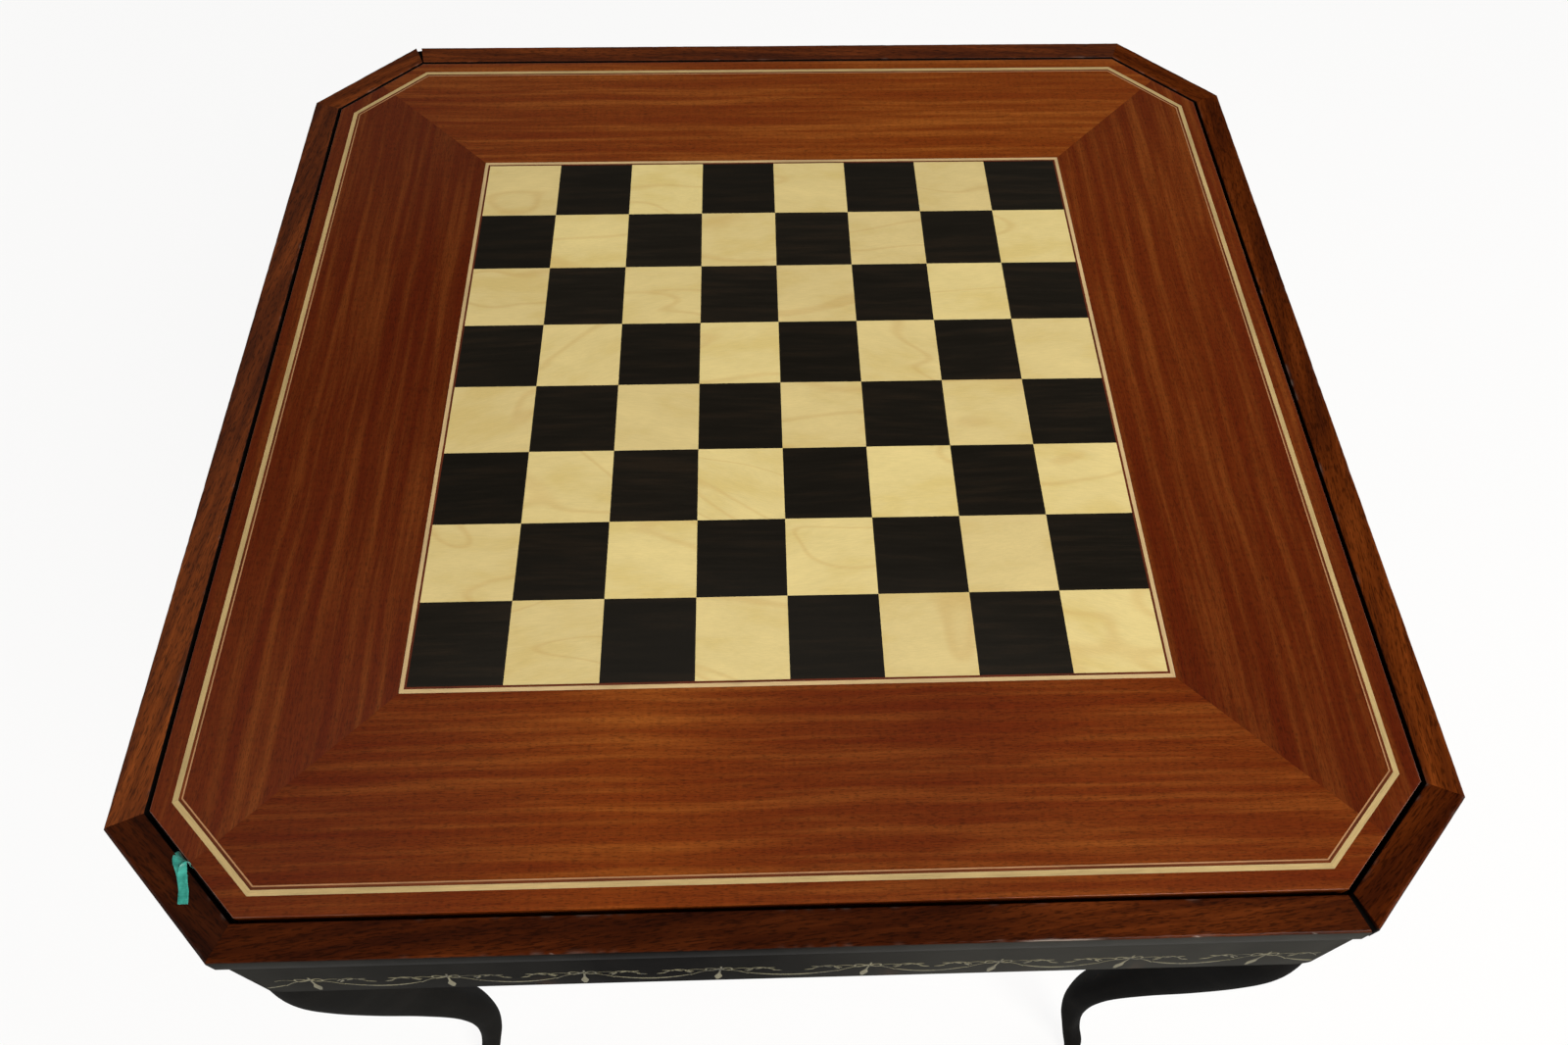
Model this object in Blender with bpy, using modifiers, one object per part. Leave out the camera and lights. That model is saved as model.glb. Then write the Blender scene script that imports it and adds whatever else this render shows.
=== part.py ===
"""Games table with a lift-out chess panel.

An octagonal table on four cabriole legs. A mitred mahogany frame sits on ebonised
aprons and surrounds a loose panel, veneered in four mitred quarters round an
inlaid chessboard. The panel rests on the walls of a baize-lined games well and
lifts straight out by a ribbon tab. The legs are bolted to steel corner brackets
under the well.

Metres, +Z up, origin on the floor under the middle of the table, front towards -Y.
"""

import math

import bmesh
import bpy
from mathutils import Matrix, Vector

# Overall size
TABLE_WIDTH = 0.752
CORNER_FACE = 0.1015
TABLE_HEIGHT = 0.780
SEAT_GAP = 0.0003

# Top frame
FRAME_WIDTH = 0.0205
FRAME_THICKNESS = 0.0145
FRAME_ARRIS = 0.0018
# How far a rail's end stands back from a sprung mitre, at its outer and its inner face
OPEN_MITRES = {
    "front": (0.0048, 0.0033),
    "back": (0.0048, 0.0011),
}

# Apron
FRAME_OVERHANG = 0.0028
APRON_THICKNESS = 0.018
APRON_HEIGHT = 0.0775
APRON_CORNER_ROUND = 0.008

# Lift-out panel
PANEL_CLEARANCE = 0.0023
CORE_THICKNESS = 0.015
LIPPING_THICKNESS = 0.003
VENEER_THICKNESS = 0.0016
VENEER_JOINT = 0.0003
SQUARE = 0.056
SQUARES_A_SIDE = 8
BOARD_BACKING = 0.0006
CORNER_BRIDGE = 0.0003
BROWN_LINE = 0.0009
PALE_LINE = 0.0026
FINE_STRING = 0.0008
DARK_STRING = 0.0010
BAND_STRING = 0.0034
BAND_MARGIN = 0.0110
GROOVE_DEPTH = 0.0010
PANEL_BAIZE_THICKNESS = 0.0010
BAIZE_BORDER = 0.024

# Ribbon tab
RIBBON_WIDTH = 0.012
RIBBON_THICKNESS = 0.0006
RIBBON_TUCK = 0.026
RIBBON_LAP = 0.013
RIBBON_RECESS_CLEARANCE = 0.0015
RIBBON_OFFSET = -0.003

# Games well
WALL_THICKNESS = 0.013
WALL_HEIGHT = 0.034
FLOOR_THICKNESS = 0.006
LINING_THICKNESS = 0.001
CLEAT_WIDTH = 0.014
CLEAT_HEIGHT = 0.014
CLEAT_END_CLEARANCE = 0.0023

# Legs
KNEE_DEPTH = 0.066
KNEE_WIDTH = 0.094
KNEE_SETBACK = 0.0015
LEG_RINGS = 26
LEG_SIDES = 20
POST_DEPTH = 0.034
POST_WIDTH = 0.056
POST_ROOT = 0.012
FOOT_LIFT = 0.004

# Leg fixings
BRACKET_TO_POST = 0.008
BRACKET_THICKNESS = 0.0025
BRACKET_EDGE_CLEARANCE = 0.00425
BRACKET_WING = 0.030
BOLT_RADIUS = 0.004
BOLT_BITE = 0.022
BOLT_TAIL = 0.004
HOLE_CLEARANCE = 0.0004
FLANGE_RADIUS = 0.0095
FLANGE_THICKNESS = 0.0016
NUT_ACROSS_FLATS = 0.013
NUT_HEIGHT = 0.0065

# Foot glides
GLIDE_RADIUS = 0.0060
GLIDE_PIN_RADIUS = 0.0012
GLIDE_PIN_LENGTH = 0.009

# Facet counts, shading and cutting
ROUND_SIDES = 16
SMALL_SIDES = 12
HEXAGON_SIDES = 6
BEVEL_SEGMENTS = 3
CORNER_SEGMENTS = 4
SMOOTH_ANGLE = math.radians(35.0)
FLAT_ANGLE = math.radians(0.1)
MERGE_SHARE = 0.05
CUT_OVERRUN = 0.002

# Levels, worked down from the playing surface
FRAME_TOP = TABLE_HEIGHT
FRAME_BOTTOM = FRAME_TOP - FRAME_THICKNESS
APRON_TOP = FRAME_BOTTOM - SEAT_GAP
APRON_BOTTOM = APRON_TOP - APRON_HEIGHT
VENEER_BOTTOM = TABLE_HEIGHT - VENEER_THICKNESS
CORE_TOP = VENEER_BOTTOM - SEAT_GAP
CORE_BOTTOM = CORE_TOP - CORE_THICKNESS
WALL_TOP = CORE_BOTTOM - SEAT_GAP
WALL_BOTTOM = WALL_TOP - WALL_HEIGHT
FLOOR_TOP = WALL_BOTTOM - SEAT_GAP
FLOOR_BOTTOM = FLOOR_TOP - FLOOR_THICKNESS
CLEAT_TOP = FLOOR_BOTTOM - SEAT_GAP
CLEAT_BOTTOM = CLEAT_TOP - CLEAT_HEIGHT
LEG_TOP = APRON_BOTTOM - SEAT_GAP
POST_TOP = FLOOR_BOTTOM - SEAT_GAP
BRACKET_TOP = POST_TOP - BRACKET_EDGE_CLEARANCE
BRACKET_BOTTOM = APRON_BOTTOM + BRACKET_EDGE_CLEARANCE
BRACKET_LEVEL = (BRACKET_TOP + BRACKET_BOTTOM) / 2
LEG_HEIGHT = LEG_TOP - FOOT_LIFT
CLOSED_MITRE = (SEAT_GAP / 2, SEAT_GAP / 2)

SIDES = ("right", "back_right", "back", "back_left", "left", "front_left", "front", "front_right")
SIDE_ANGLES = {
    "right": math.radians(0.0),
    "back": math.radians(90.0),
    "left": math.radians(180.0),
    "front": math.radians(-90.0),
}
CORNER_ANGLES = {
    "front_left": math.radians(-135.0),
    "front_right": math.radians(-45.0),
    "back_right": math.radians(45.0),
    "back_left": math.radians(135.0),
}
ROOT_TWO = math.sqrt(2.0)


def inset(outline, distance):
    """Move every side of an octagon in by the same distance."""
    return (outline[0] - distance, outline[1] - distance)


# Octagons, each as the distances from the centre to a long side and to a cut corner
FRAME_OUTER = (TABLE_WIDTH / 2, TABLE_WIDTH / ROOT_TWO - CORNER_FACE / 2)
FRAME_INNER = inset(FRAME_OUTER, FRAME_WIDTH)
APRON_OUTER = inset(FRAME_OUTER, FRAME_OVERHANG)
APRON_INNER = inset(APRON_OUTER, APRON_THICKNESS)
WALL_OUTER = inset(APRON_INNER, SEAT_GAP)
WALL_INNER = inset(WALL_OUTER, WALL_THICKNESS)
LINING_OUTER = inset(WALL_INNER, SEAT_GAP)
PANEL_OUTER = inset(FRAME_INNER, PANEL_CLEARANCE)
LIPPING_INNER = inset(PANEL_OUTER, LIPPING_THICKNESS)
CORE_OUTER = inset(LIPPING_INNER, SEAT_GAP)
BAIZE_OUTER = inset(PANEL_OUTER, BAIZE_BORDER)
BAND_OUTER = inset(PANEL_OUTER, BAND_MARGIN)
BAND_INNER = inset(BAND_OUTER, BAND_STRING)
DARK_OUTER = inset(BAND_INNER, VENEER_JOINT)
DARK_INNER = inset(DARK_OUTER, DARK_STRING)
FINE_OUTER = inset(DARK_INNER, VENEER_JOINT)
FINE_INNER = inset(FINE_OUTER, FINE_STRING)
GROOVE_OUTER = inset(BAND_OUTER, -VENEER_JOINT)
GROOVE_INNER = inset(FINE_INNER, VENEER_JOINT)

# Half widths of the chessboard and of the square lines round it
BOARD_HALF = SQUARE * SQUARES_A_SIDE / 2
BOARD_EDGE = BOARD_HALF - VENEER_JOINT / 2
BROWN_INNER = BOARD_EDGE + VENEER_JOINT
BROWN_OUTER = BROWN_INNER + BROWN_LINE
PALE_INNER = BROWN_OUTER + VENEER_JOINT
PALE_OUTER = PALE_INNER + PALE_LINE
QUARTER_INNER = PALE_OUTER + VENEER_JOINT

# The leg from the floor up, in shares: height, then the outer and the inner face's depth
# behind the cut corner in shares of KNEE_DEPTH, then the width in shares of KNEE_WIDTH
LEG_SECTION_SHARES = (
    (0.000, 0.140, 0.380, 0.19),
    (0.030, 0.215, 0.450, 0.22),
    (0.070, 0.370, 0.580, 0.23),
    (0.120, 0.495, 0.730, 0.25),
    (0.175, 0.565, 0.890, 0.29),
    (0.240, 0.600, 1.000, 0.33),
    (0.310, 0.590, 1.010, 0.38),
    (0.400, 0.500, 0.920, 0.42),
    (0.520, 0.275, 0.820, 0.47),
    (0.640, 0.020, 0.770, 0.54),
    (0.760, -0.175, 0.755, 0.67),
    (0.850, -0.255, 0.860, 0.80),
    (0.920, -0.180, 0.980, 0.87),
    (1.000, 0.000, 1.100, 0.90),
)
LEG_SECTION_POWER = 2.7

# sRGB colour, roughness and metallic value of each finish
FINISHES = {
    "mahogany": ("5a2c18", 0.42, 0.0),
    "ebonised_wood": ("1c1b1a", 0.22, 0.0),
    "sapele_veneer": ("8a4522", 0.25, 0.0),
    "maple_veneer": ("ecd9a0", 0.25, 0.0),
    "ebony_veneer": ("241d18", 0.25, 0.0),
    "brown_stringing": ("6b3420", 0.30, 0.0),
    "pale_stringing": ("e2c98e", 0.28, 0.0),
    "tan_stringing": ("c99a70", 0.28, 0.0),
    "panel_board": ("a8855c", 0.70, 0.0),
    "plywood": ("c8a878", 0.65, 0.0),
    "green_baize": ("2f5a3c", 0.95, 0.0),
    "turquoise_ribbon": ("3fb39f", 0.55, 0.0),
    "pine": ("c9a873", 0.70, 0.0),
    "zinc_steel": ("b4b6b8", 0.35, 1.0),
    "nylon": ("e6e2d8", 0.50, 0.0),
}


# Scene and materials


def clear_scene():
    """Remove every object of the open scene."""
    for thing in list(bpy.data.objects):
        bpy.data.objects.remove(thing, do_unlink=True)


def new_collection(name):
    """A collection linked to the scene."""
    made = bpy.data.collections.new(name)
    bpy.context.scene.collection.children.link(made)
    return made


def to_linear(channel):
    """One sRGB channel, 0 to 1, as linear light."""
    if channel <= 0.04045:
        return channel / 12.92
    return ((channel + 0.055) / 1.055) ** 2.4


def material(name, finish):
    """A Principled material for one sub-part, in a named finish."""
    colour, roughness, metallic = FINISHES[finish]
    channels = [int(colour[start:start + 2], 16) / 255 for start in (0, 2, 4)]
    made = bpy.data.materials.new(name + "_" + finish)
    made.use_nodes = True
    shader = made.node_tree.nodes["Principled BSDF"]
    shader.inputs["Base Color"].default_value = (*map(to_linear, channels), 1.0)
    shader.inputs["Roughness"].default_value = roughness
    shader.inputs["Metallic"].default_value = metallic
    return made


# Outlines in plan


def octagon(outline):
    """The eight corners, anticlockwise, starting at the front end of the right side."""
    side, chamfer = outline
    corner = chamfer * ROOT_TWO - side
    return [Vector(point) for point in (
        (side, -corner), (side, corner), (corner, side), (-corner, side),
        (-side, corner), (-side, -corner), (-corner, -side), (corner, -side),
    )]


def square(half_width):
    """The four corners of a square, anticlockwise from the front right."""
    return [Vector(point) for point in (
        (half_width, -half_width), (half_width, half_width),
        (-half_width, half_width), (-half_width, -half_width),
    )]


def circle(radius, sides):
    """A regular outline with its first corner on +X."""
    turns = [2 * math.pi * step / sides for step in range(sides)]
    return [radius * Vector((math.cos(turn), math.sin(turn))) for turn in turns]


def mitred_board(side_name, outer, inner, end_trims):
    """One board of an octagonal ring, drawn back from its mitres.

    The start keeps half the seat gap. The end is trimmed by its own amounts at the
    outer and at the inner face, so that a mitre can stand open.
    """
    index = SIDES.index(side_name)
    following = (index + 1) % len(SIDES)
    outside = octagon(outer)
    inside = octagon(inner)
    along = (outside[following] - outside[index]).normalized()
    return [
        outside[index] + along * SEAT_GAP / 2,
        outside[following] - along * end_trims[0],
        inside[following] - along * end_trims[1],
        inside[index] + along * SEAT_GAP / 2,
    ]


def quarter_outline(side_name):
    """A quarter of the panel's border, from the board's corners to the middles of the cut corners."""
    turn = Matrix.Rotation(SIDE_ANGLES[side_name], 2)
    side, chamfer = PANEL_OUTER
    corner = chamfer * ROOT_TWO - side
    middle = chamfer / ROOT_TWO
    joint = VENEER_JOINT / ROOT_TWO
    points = [
        (QUARTER_INNER, -QUARTER_INNER + joint), (middle, -middle + joint),
        (side, -corner), (side, corner),
        (middle, middle - joint), (QUARTER_INNER, QUARTER_INNER - joint),
    ]
    return [turn @ Vector(point) for point in points]


def strip_outline(path, thickness):
    """A strip of one thickness that follows a bent centre line, with mitred bends."""
    points = [Vector(point) for point in path]
    runs = [(after - before).normalized() for before, after in zip(points, points[1:])]
    normals = [Vector((-run.y, run.x)) for run in runs]
    offsets = [normals[0]]
    for before, after in zip(normals, normals[1:]):
        offsets.append((before + after) / (1.0 + before.dot(after)))
    offsets.append(normals[-1])
    half = thickness / 2
    left = [point + half * offset for point, offset in zip(points, offsets)]
    right = [point - half * offset for point, offset in zip(points, offsets)]
    return right + left[::-1]


# Solids


def finish_object(name, mesh, finish, parent=None):
    """Put a mesh into the table's collection as one named sub-part."""
    mesh.name = name
    mesh.materials.clear()
    mesh.materials.append(material(name, finish))
    made = bpy.data.objects.new(name, mesh)
    TABLE.objects.link(made)
    if parent is not None:
        made.parent = parent
        made.matrix_parent_inverse = parent.matrix_world.inverted()
    return made


def evaluated_mesh(source):
    """The mesh of an object as its modifiers leave it, in world space; the object goes."""
    bpy.context.view_layer.update()
    graph = bpy.context.evaluated_depsgraph_get()
    mesh = bpy.data.meshes.new_from_object(source.evaluated_get(graph))
    mesh.transform(source.matrix_world)
    bpy.data.objects.remove(source, do_unlink=True)
    return mesh


def extruded(outlines, bottom, top):
    """A mesh that fills flat outlines between two levels; an outline inside another is a hole."""
    curve = bpy.data.curves.new("outline", "CURVE")
    curve.dimensions = "2D"
    curve.fill_mode = "BOTH"
    curve.extrude = (top - bottom) / 2
    for outline in outlines:
        spline = curve.splines.new("POLY")
        spline.points.add(len(outline) - 1)
        for point, place in zip(spline.points, outline):
            point.co = (place[0], place[1], 0.0, 1.0)
        spline.use_cyclic_u = True
    source = bpy.data.objects.new("outline", curve)
    source.location.z = (bottom + top) / 2
    WORKSHOP.objects.link(source)
    mesh = evaluated_mesh(source)
    bm = bmesh.new()
    bm.from_mesh(mesh)
    bmesh.ops.remove_doubles(bm, verts=bm.verts, dist=SEAT_GAP * MERGE_SHARE)
    bmesh.ops.recalc_face_normals(bm, faces=bm.faces)
    bm.to_mesh(mesh)
    bm.free()
    return mesh


def board(name, outlines, bottom, top, finish, parent=None):
    """A flat sub-part cut to outlines, between two levels."""
    return finish_object(name, extruded(outlines, bottom, top), finish, parent)


def turned(profile, sides):
    """A solid turned about Z from a profile that runs down its outside, from axis to axis."""
    bm = bmesh.new()
    points = [bm.verts.new((radius, 0.0, height)) for radius, height in profile]
    for before, after in zip(points, points[1:]):
        bm.edges.new((before, after))
    mesh = bpy.data.meshes.new("profile")
    bm.to_mesh(mesh)
    bm.free()
    source = bpy.data.objects.new("profile", mesh)
    WORKSHOP.objects.link(source)
    lathe = source.modifiers.new("lathe", "SCREW")
    lathe.steps = sides
    lathe.render_steps = sides
    lathe.use_merge_vertices = True
    lathe.merge_threshold = SEAT_GAP * MERGE_SHARE
    return evaluated_mesh(source)


def drill(radius, depth, sides):
    """A cutter for a hole down from the origin, with an overrun above it."""
    return turned(((0.0, CUT_OVERRUN), (radius, CUT_OVERRUN), (radius, -depth), (0.0, -depth)), sides)


def box_mesh(low, high):
    """A closed box between two corners."""
    low = Vector(low)
    high = Vector(high)
    bm = bmesh.new()
    bmesh.ops.create_cube(bm, size=1.0)
    bmesh.ops.scale(bm, vec=high - low, verts=bm.verts)
    bmesh.ops.translate(bm, vec=(low + high) / 2, verts=bm.verts)
    mesh = bpy.data.meshes.new("box")
    bm.to_mesh(mesh)
    bm.free()
    return mesh


def boolean(mesh, tools, operation):
    """Join a mesh with others, or cut them out of it, and return the result."""
    body = bpy.data.objects.new("body", mesh)
    WORKSHOP.objects.link(body)
    helpers = []
    for tool in tools:
        helper = bpy.data.objects.new("cutter", tool)
        helper.hide_render = True
        helper.display_type = "WIRE"
        WORKSHOP.objects.link(helper)
        helpers.append(helper)
        step = body.modifiers.new(operation.lower(), "BOOLEAN")
        step.operation = operation
        step.solver = "EXACT"
        step.object = helper
    result = evaluated_mesh(body)
    for helper in helpers:
        bpy.data.objects.remove(helper, do_unlink=True)
    return result


def soften(thing, width, segments, wanted):
    """Round the edges of a board that a test on their two ends picks out."""
    bm = bmesh.new()
    bm.from_mesh(thing.data)
    bmesh.ops.dissolve_limit(bm, angle_limit=FLAT_ANGLE, verts=bm.verts, edges=bm.edges)
    bm.to_mesh(thing.data)
    bm.free()
    weights = thing.data.attributes.new("bevel_weight_edge", "FLOAT", "EDGE")
    for edge in thing.data.edges:
        ends = [thing.data.vertices[index].co for index in edge.vertices]
        weights.data[edge.index].value = 1.0 if wanted(*ends) else 0.0
    arris = thing.modifiers.new("arris", "BEVEL")
    arris.limit_method = "WEIGHT"
    arris.width = width
    arris.segments = segments


def smooth_shading(mesh):
    """Shade a round piece smooth and keep its real corners."""
    mesh.shade_smooth()
    mesh.set_sharp_from_angle(angle=SMOOTH_ANGLE)


def at_corners(name, mesh, finish):
    """Four sub-parts, one at each corner, from a mesh made for a corner on +X."""
    for corner, angle in CORNER_ANGLES.items():
        made = finish_object(name + "_" + corner, mesh.copy(), finish)
        made.rotation_euler.z = angle


def along_x(distance, height):
    """Lays a piece turned about Z on its side, its top pointing out through the corner."""
    return Matrix.Translation((distance, 0.0, height)) @ Matrix.Rotation(math.pi / 2, 4, "Y")


# Top frame and aprons


def make_frame():
    """Eight mitred rails; two opposite mitres have sprung open."""
    for name in SIDES:
        outline = mitred_board(name, FRAME_OUTER, FRAME_INNER, OPEN_MITRES.get(name, CLOSED_MITRE))
        rail = board("top_rail_" + name, [outline], FRAME_BOTTOM, FRAME_TOP, "mahogany")
        outer_ends = outline[:2]

        def top_outer_edge(first, second, ends=outer_ends):
            high = min(first.z, second.z) > (FRAME_TOP + FRAME_BOTTOM) / 2
            near = [min((point.xy - end).length for end in ends) for point in (first, second)]
            return high and max(near) < FRAME_WIDTH / 2

        soften(rail, FRAME_ARRIS, BEVEL_SEGMENTS, top_outer_edge)


def make_aprons():
    """Four long aprons and four across the corners, mitred, with rounded lower corners."""
    for name in SIDES:
        outline = mitred_board(name, APRON_OUTER, APRON_INNER, CLOSED_MITRE)
        apron = board("apron_" + name, [outline], APRON_BOTTOM, APRON_TOP, "ebonised_wood")
        middle = sum(outline, Vector((0.0, 0.0))) / len(outline)
        along = (outline[1] - outline[0]).normalized()

        def lower_end_edge(first, second, middle=middle, along=along):
            low = max(first.z, second.z) < (APRON_TOP + APRON_BOTTOM) / 2
            same_end = (first.xy - middle).dot(along) * (second.xy - middle).dot(along) > 0
            return low and same_end

        soften(apron, APRON_CORNER_ROUND, CORNER_SEGMENTS, lower_end_edge)


# Games well


def make_well():
    """One glued ring of walls that carries the panel, a floor on cleats, and a cloth lining."""
    board("well_walls", [octagon(WALL_OUTER), octagon(WALL_INNER)], WALL_BOTTOM, WALL_TOP,
          "mahogany")
    board("well_floor", [octagon(WALL_OUTER)], FLOOR_BOTTOM, FLOOR_TOP, "plywood")
    lining_bottom = FLOOR_TOP + SEAT_GAP
    board("well_lining", [octagon(LINING_OUTER)], lining_bottom,
          lining_bottom + LINING_THICKNESS, "green_baize")
    face = APRON_INNER[0] - SEAT_GAP
    half_length = cleat_half_length()
    for name, angle in SIDE_ANGLES.items():
        cleat = box_mesh((face - CLEAT_WIDTH, -half_length, CLEAT_BOTTOM),
                         (face, half_length, CLEAT_TOP))
        made = finish_object("floor_cleat_" + name, cleat, "pine")
        made.rotation_euler.z = angle


# Lift-out panel


def ribbon_recess():
    """The cutter for the shallow recess that takes the ribbon's end under the panel."""
    half_width = RIBBON_WIDTH / 2 + RIBBON_RECESS_CLEARANCE
    recess = box_mesh(
        (PANEL_OUTER[1] - RIBBON_TUCK - RIBBON_RECESS_CLEARANCE,
         RIBBON_OFFSET - half_width, CORE_BOTTOM - CUT_OVERRUN),
        (PANEL_OUTER[1] + CUT_OVERRUN,
         RIBBON_OFFSET + half_width, CORE_BOTTOM + RIBBON_THICKNESS + 2 * SEAT_GAP))
    recess.transform(Matrix.Rotation(CORNER_ANGLES["front_left"], 4, "Z"))
    return recess


def make_ribbon(parent):
    """A ribbon tab, tucked under the panel, up through the gap and over the frame.

    The part that lies on the frame slants towards the front.
    """
    half = RIBBON_THICKNESS / 2
    tucked = CORE_BOTTOM + SEAT_GAP + half
    upright = (PANEL_OUTER[1] + FRAME_INNER[1]) / 2
    lying = FRAME_TOP + SEAT_GAP + half
    path = [
        (PANEL_OUTER[1] - RIBBON_TUCK, tucked),
        (upright, tucked),
        (upright, lying),
        (FRAME_INNER[1] + RIBBON_LAP, lying),
    ]
    strip = extruded([strip_outline(path, RIBBON_THICKNESS)], -RIBBON_WIDTH / 2, RIBBON_WIDTH / 2)
    strip.transform(Matrix.Translation((0.0, RIBBON_OFFSET, 0.0))
                    @ Matrix.Rotation(math.pi / 2, 4, "X"))
    bend = upright + half
    for vertex in strip.vertices:
        vertex.co.y += max(0.0, vertex.co.x - bend)
    strip.transform(Matrix.Rotation(CORNER_ANGLES["front_left"], 4, "Z"))
    finish_object("ribbon_tab", strip, "turquoise_ribbon", parent)


def dark_tiles(half_width, bottom, top):
    """A box on every dark square of the board, as one mesh."""
    tile = box_mesh((-half_width, -half_width, bottom), (half_width, half_width, top))
    bm = bmesh.new()
    for row in range(SQUARES_A_SIDE):
        for column in range(SQUARES_A_SIDE):
            if (row + column) % 2 == 0:
                placed = tile.copy()
                across = (column + 0.5) * SQUARE - BOARD_HALF
                away = (row + 0.5) * SQUARE - BOARD_HALF
                placed.transform(Matrix.Translation((across, away, 0.0)))
                bm.from_mesh(placed)
                bpy.data.meshes.remove(placed)
    mesh = bpy.data.meshes.new("dark_tiles")
    bm.to_mesh(mesh)
    bm.free()
    return mesh


def make_board(parent):
    """The chessboard's squares.

    The dark squares stand on one backing. The light ones are a sheet with a window
    for each dark square, so that they hold together at their corners.
    """
    window = (SQUARE - CORNER_BRIDGE) / 2
    backing_top = VENEER_BOTTOM + BOARD_BACKING
    light_bottom = backing_top + SEAT_GAP
    sheet = extruded([square(BOARD_EDGE)], light_bottom, TABLE_HEIGHT)
    windows = dark_tiles(window, light_bottom - CUT_OVERRUN, TABLE_HEIGHT + CUT_OVERRUN)
    finish_object("squares_light", boolean(sheet, [windows], "DIFFERENCE"), "maple_veneer", parent)
    backing = extruded([square(BOARD_EDGE)], VENEER_BOTTOM, backing_top)
    raised = dark_tiles(window - VENEER_JOINT, backing_top - BOARD_BACKING / 2, TABLE_HEIGHT)
    finish_object("squares_dark", boolean(backing, [raised], "UNION"), "ebony_veneer", parent)


def make_veneers(parent):
    """Four mitred quarters of veneer, grooved for the octagonal stringing."""
    groove = extruded([octagon(GROOVE_OUTER), octagon(GROOVE_INNER)],
                      TABLE_HEIGHT - GROOVE_DEPTH, TABLE_HEIGHT + CUT_OVERRUN)
    for name in SIDE_ANGLES:
        quarter = extruded([quarter_outline(name)], VENEER_BOTTOM, TABLE_HEIGHT)
        grooved = boolean(quarter, [groove.copy()], "DIFFERENCE")
        finish_object("veneer_" + name, grooved, "sapele_veneer", parent)


def make_lines(parent):
    """The square lines round the board, and the three octagonal strings in their groove."""
    string_bottom = TABLE_HEIGHT - GROOVE_DEPTH + SEAT_GAP
    lines = (
        ("board_line_brown", square(BROWN_OUTER), square(BROWN_INNER), "brown_stringing"),
        ("board_line_pale", square(PALE_OUTER), square(PALE_INNER), "pale_stringing"),
        ("string_fine", octagon(FINE_OUTER), octagon(FINE_INNER), "tan_stringing"),
        ("string_dark", octagon(DARK_OUTER), octagon(DARK_INNER), "brown_stringing"),
        ("string_band", octagon(BAND_OUTER), octagon(BAND_INNER), "pale_stringing"),
    )
    for name, outer, inner, finish in lines:
        bottom = string_bottom if name.startswith("string") else VENEER_BOTTOM
        board(name, [outer, inner], bottom, TABLE_HEIGHT, finish, parent)


def make_panel():
    """The loose panel: core, lipping, veneers, chessboard, lines, baize and ribbon."""
    lift = bpy.data.objects.new("panel_lift_axis", None)
    lift.location.z = WALL_TOP
    TABLE.objects.link(lift)
    bpy.context.view_layer.update()
    recess = ribbon_recess()
    core = extruded([octagon(CORE_OUTER)], CORE_BOTTOM, CORE_TOP)
    core = boolean(core, [recess.copy()], "DIFFERENCE")
    finish_object("panel_core", core, "panel_board", lift)
    lipping = extruded([octagon(PANEL_OUTER), octagon(LIPPING_INNER)], CORE_BOTTOM, CORE_TOP)
    lipping = boolean(lipping, [recess], "DIFFERENCE")
    finish_object("panel_lipping", lipping, "mahogany", lift)
    make_veneers(lift)
    make_board(lift)
    make_lines(lift)
    baize_top = CORE_BOTTOM - SEAT_GAP
    board("panel_baize", [octagon(BAIZE_OUTER)], baize_top - PANEL_BAIZE_THICKNESS, baize_top,
          "green_baize", lift)
    make_ribbon(lift)


# Legs and their fixings, made for a corner on +X


def smooth_value(rows, column, share):
    """Read one column of a table at a share of its first column, on smooth cubic arcs."""
    keys = [row[0] for row in rows]
    values = [row[column] for row in rows]
    last = len(keys) - 1
    slopes = []
    for index in range(last + 1):
        before = max(index - 1, 0)
        after = min(index + 1, last)
        slopes.append((values[after] - values[before]) / (keys[after] - keys[before]))
    index = max(start for start in range(last) if keys[start] <= share)
    span = keys[index + 1] - keys[index]
    part = (share - keys[index]) / span
    square_part = part * part
    cube_part = square_part * part
    return (
        (2 * cube_part - 3 * square_part + 1) * values[index]
        + (cube_part - 2 * square_part + part) * span * slopes[index]
        + (3 * square_part - 2 * cube_part) * values[index + 1]
        + (cube_part - square_part) * span * slopes[index + 1]
    )


def leg_section(share):
    """Outer face, inner face and half width of the leg at a share of its height."""
    face = APRON_OUTER[1] - KNEE_SETBACK
    outer = face - KNEE_DEPTH * smooth_value(LEG_SECTION_SHARES, 1, share)
    inner = face - KNEE_DEPTH * smooth_value(LEG_SECTION_SHARES, 2, share)
    half_width = KNEE_WIDTH / 2 * smooth_value(LEG_SECTION_SHARES, 3, share)
    return outer, inner, half_width


def rounded(turn_value):
    """A cosine or sine, drawn out towards the corners of a rounded square."""
    return math.copysign(abs(turn_value) ** (2.0 / LEG_SECTION_POWER), turn_value)


def leg_loft():
    """The curved leg, a loft of rounded level sections from the foot to the knee."""
    bm = bmesh.new()
    rings = []
    for step in range(LEG_RINGS + 1):
        share = step / LEG_RINGS
        outer, inner, half_width = leg_section(share)
        height = FOOT_LIFT + share * LEG_HEIGHT
        ring = []
        for side in range(LEG_SIDES):
            turn = 2 * math.pi * side / LEG_SIDES
            reach = (outer + inner) / 2 + (outer - inner) / 2 * rounded(math.cos(turn))
            ring.append(bm.verts.new((reach, half_width * rounded(math.sin(turn)), height)))
        rings.append(ring)
    bm.faces.new(rings[0][::-1])
    bm.faces.new(rings[-1])
    for below, above in zip(rings, rings[1:]):
        for side in range(LEG_SIDES):
            following = (side + 1) % LEG_SIDES
            bm.faces.new((below[side], below[following], above[following], above[side]))
    mesh = bpy.data.meshes.new("leg")
    bm.to_mesh(mesh)
    bm.free()
    return mesh


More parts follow.
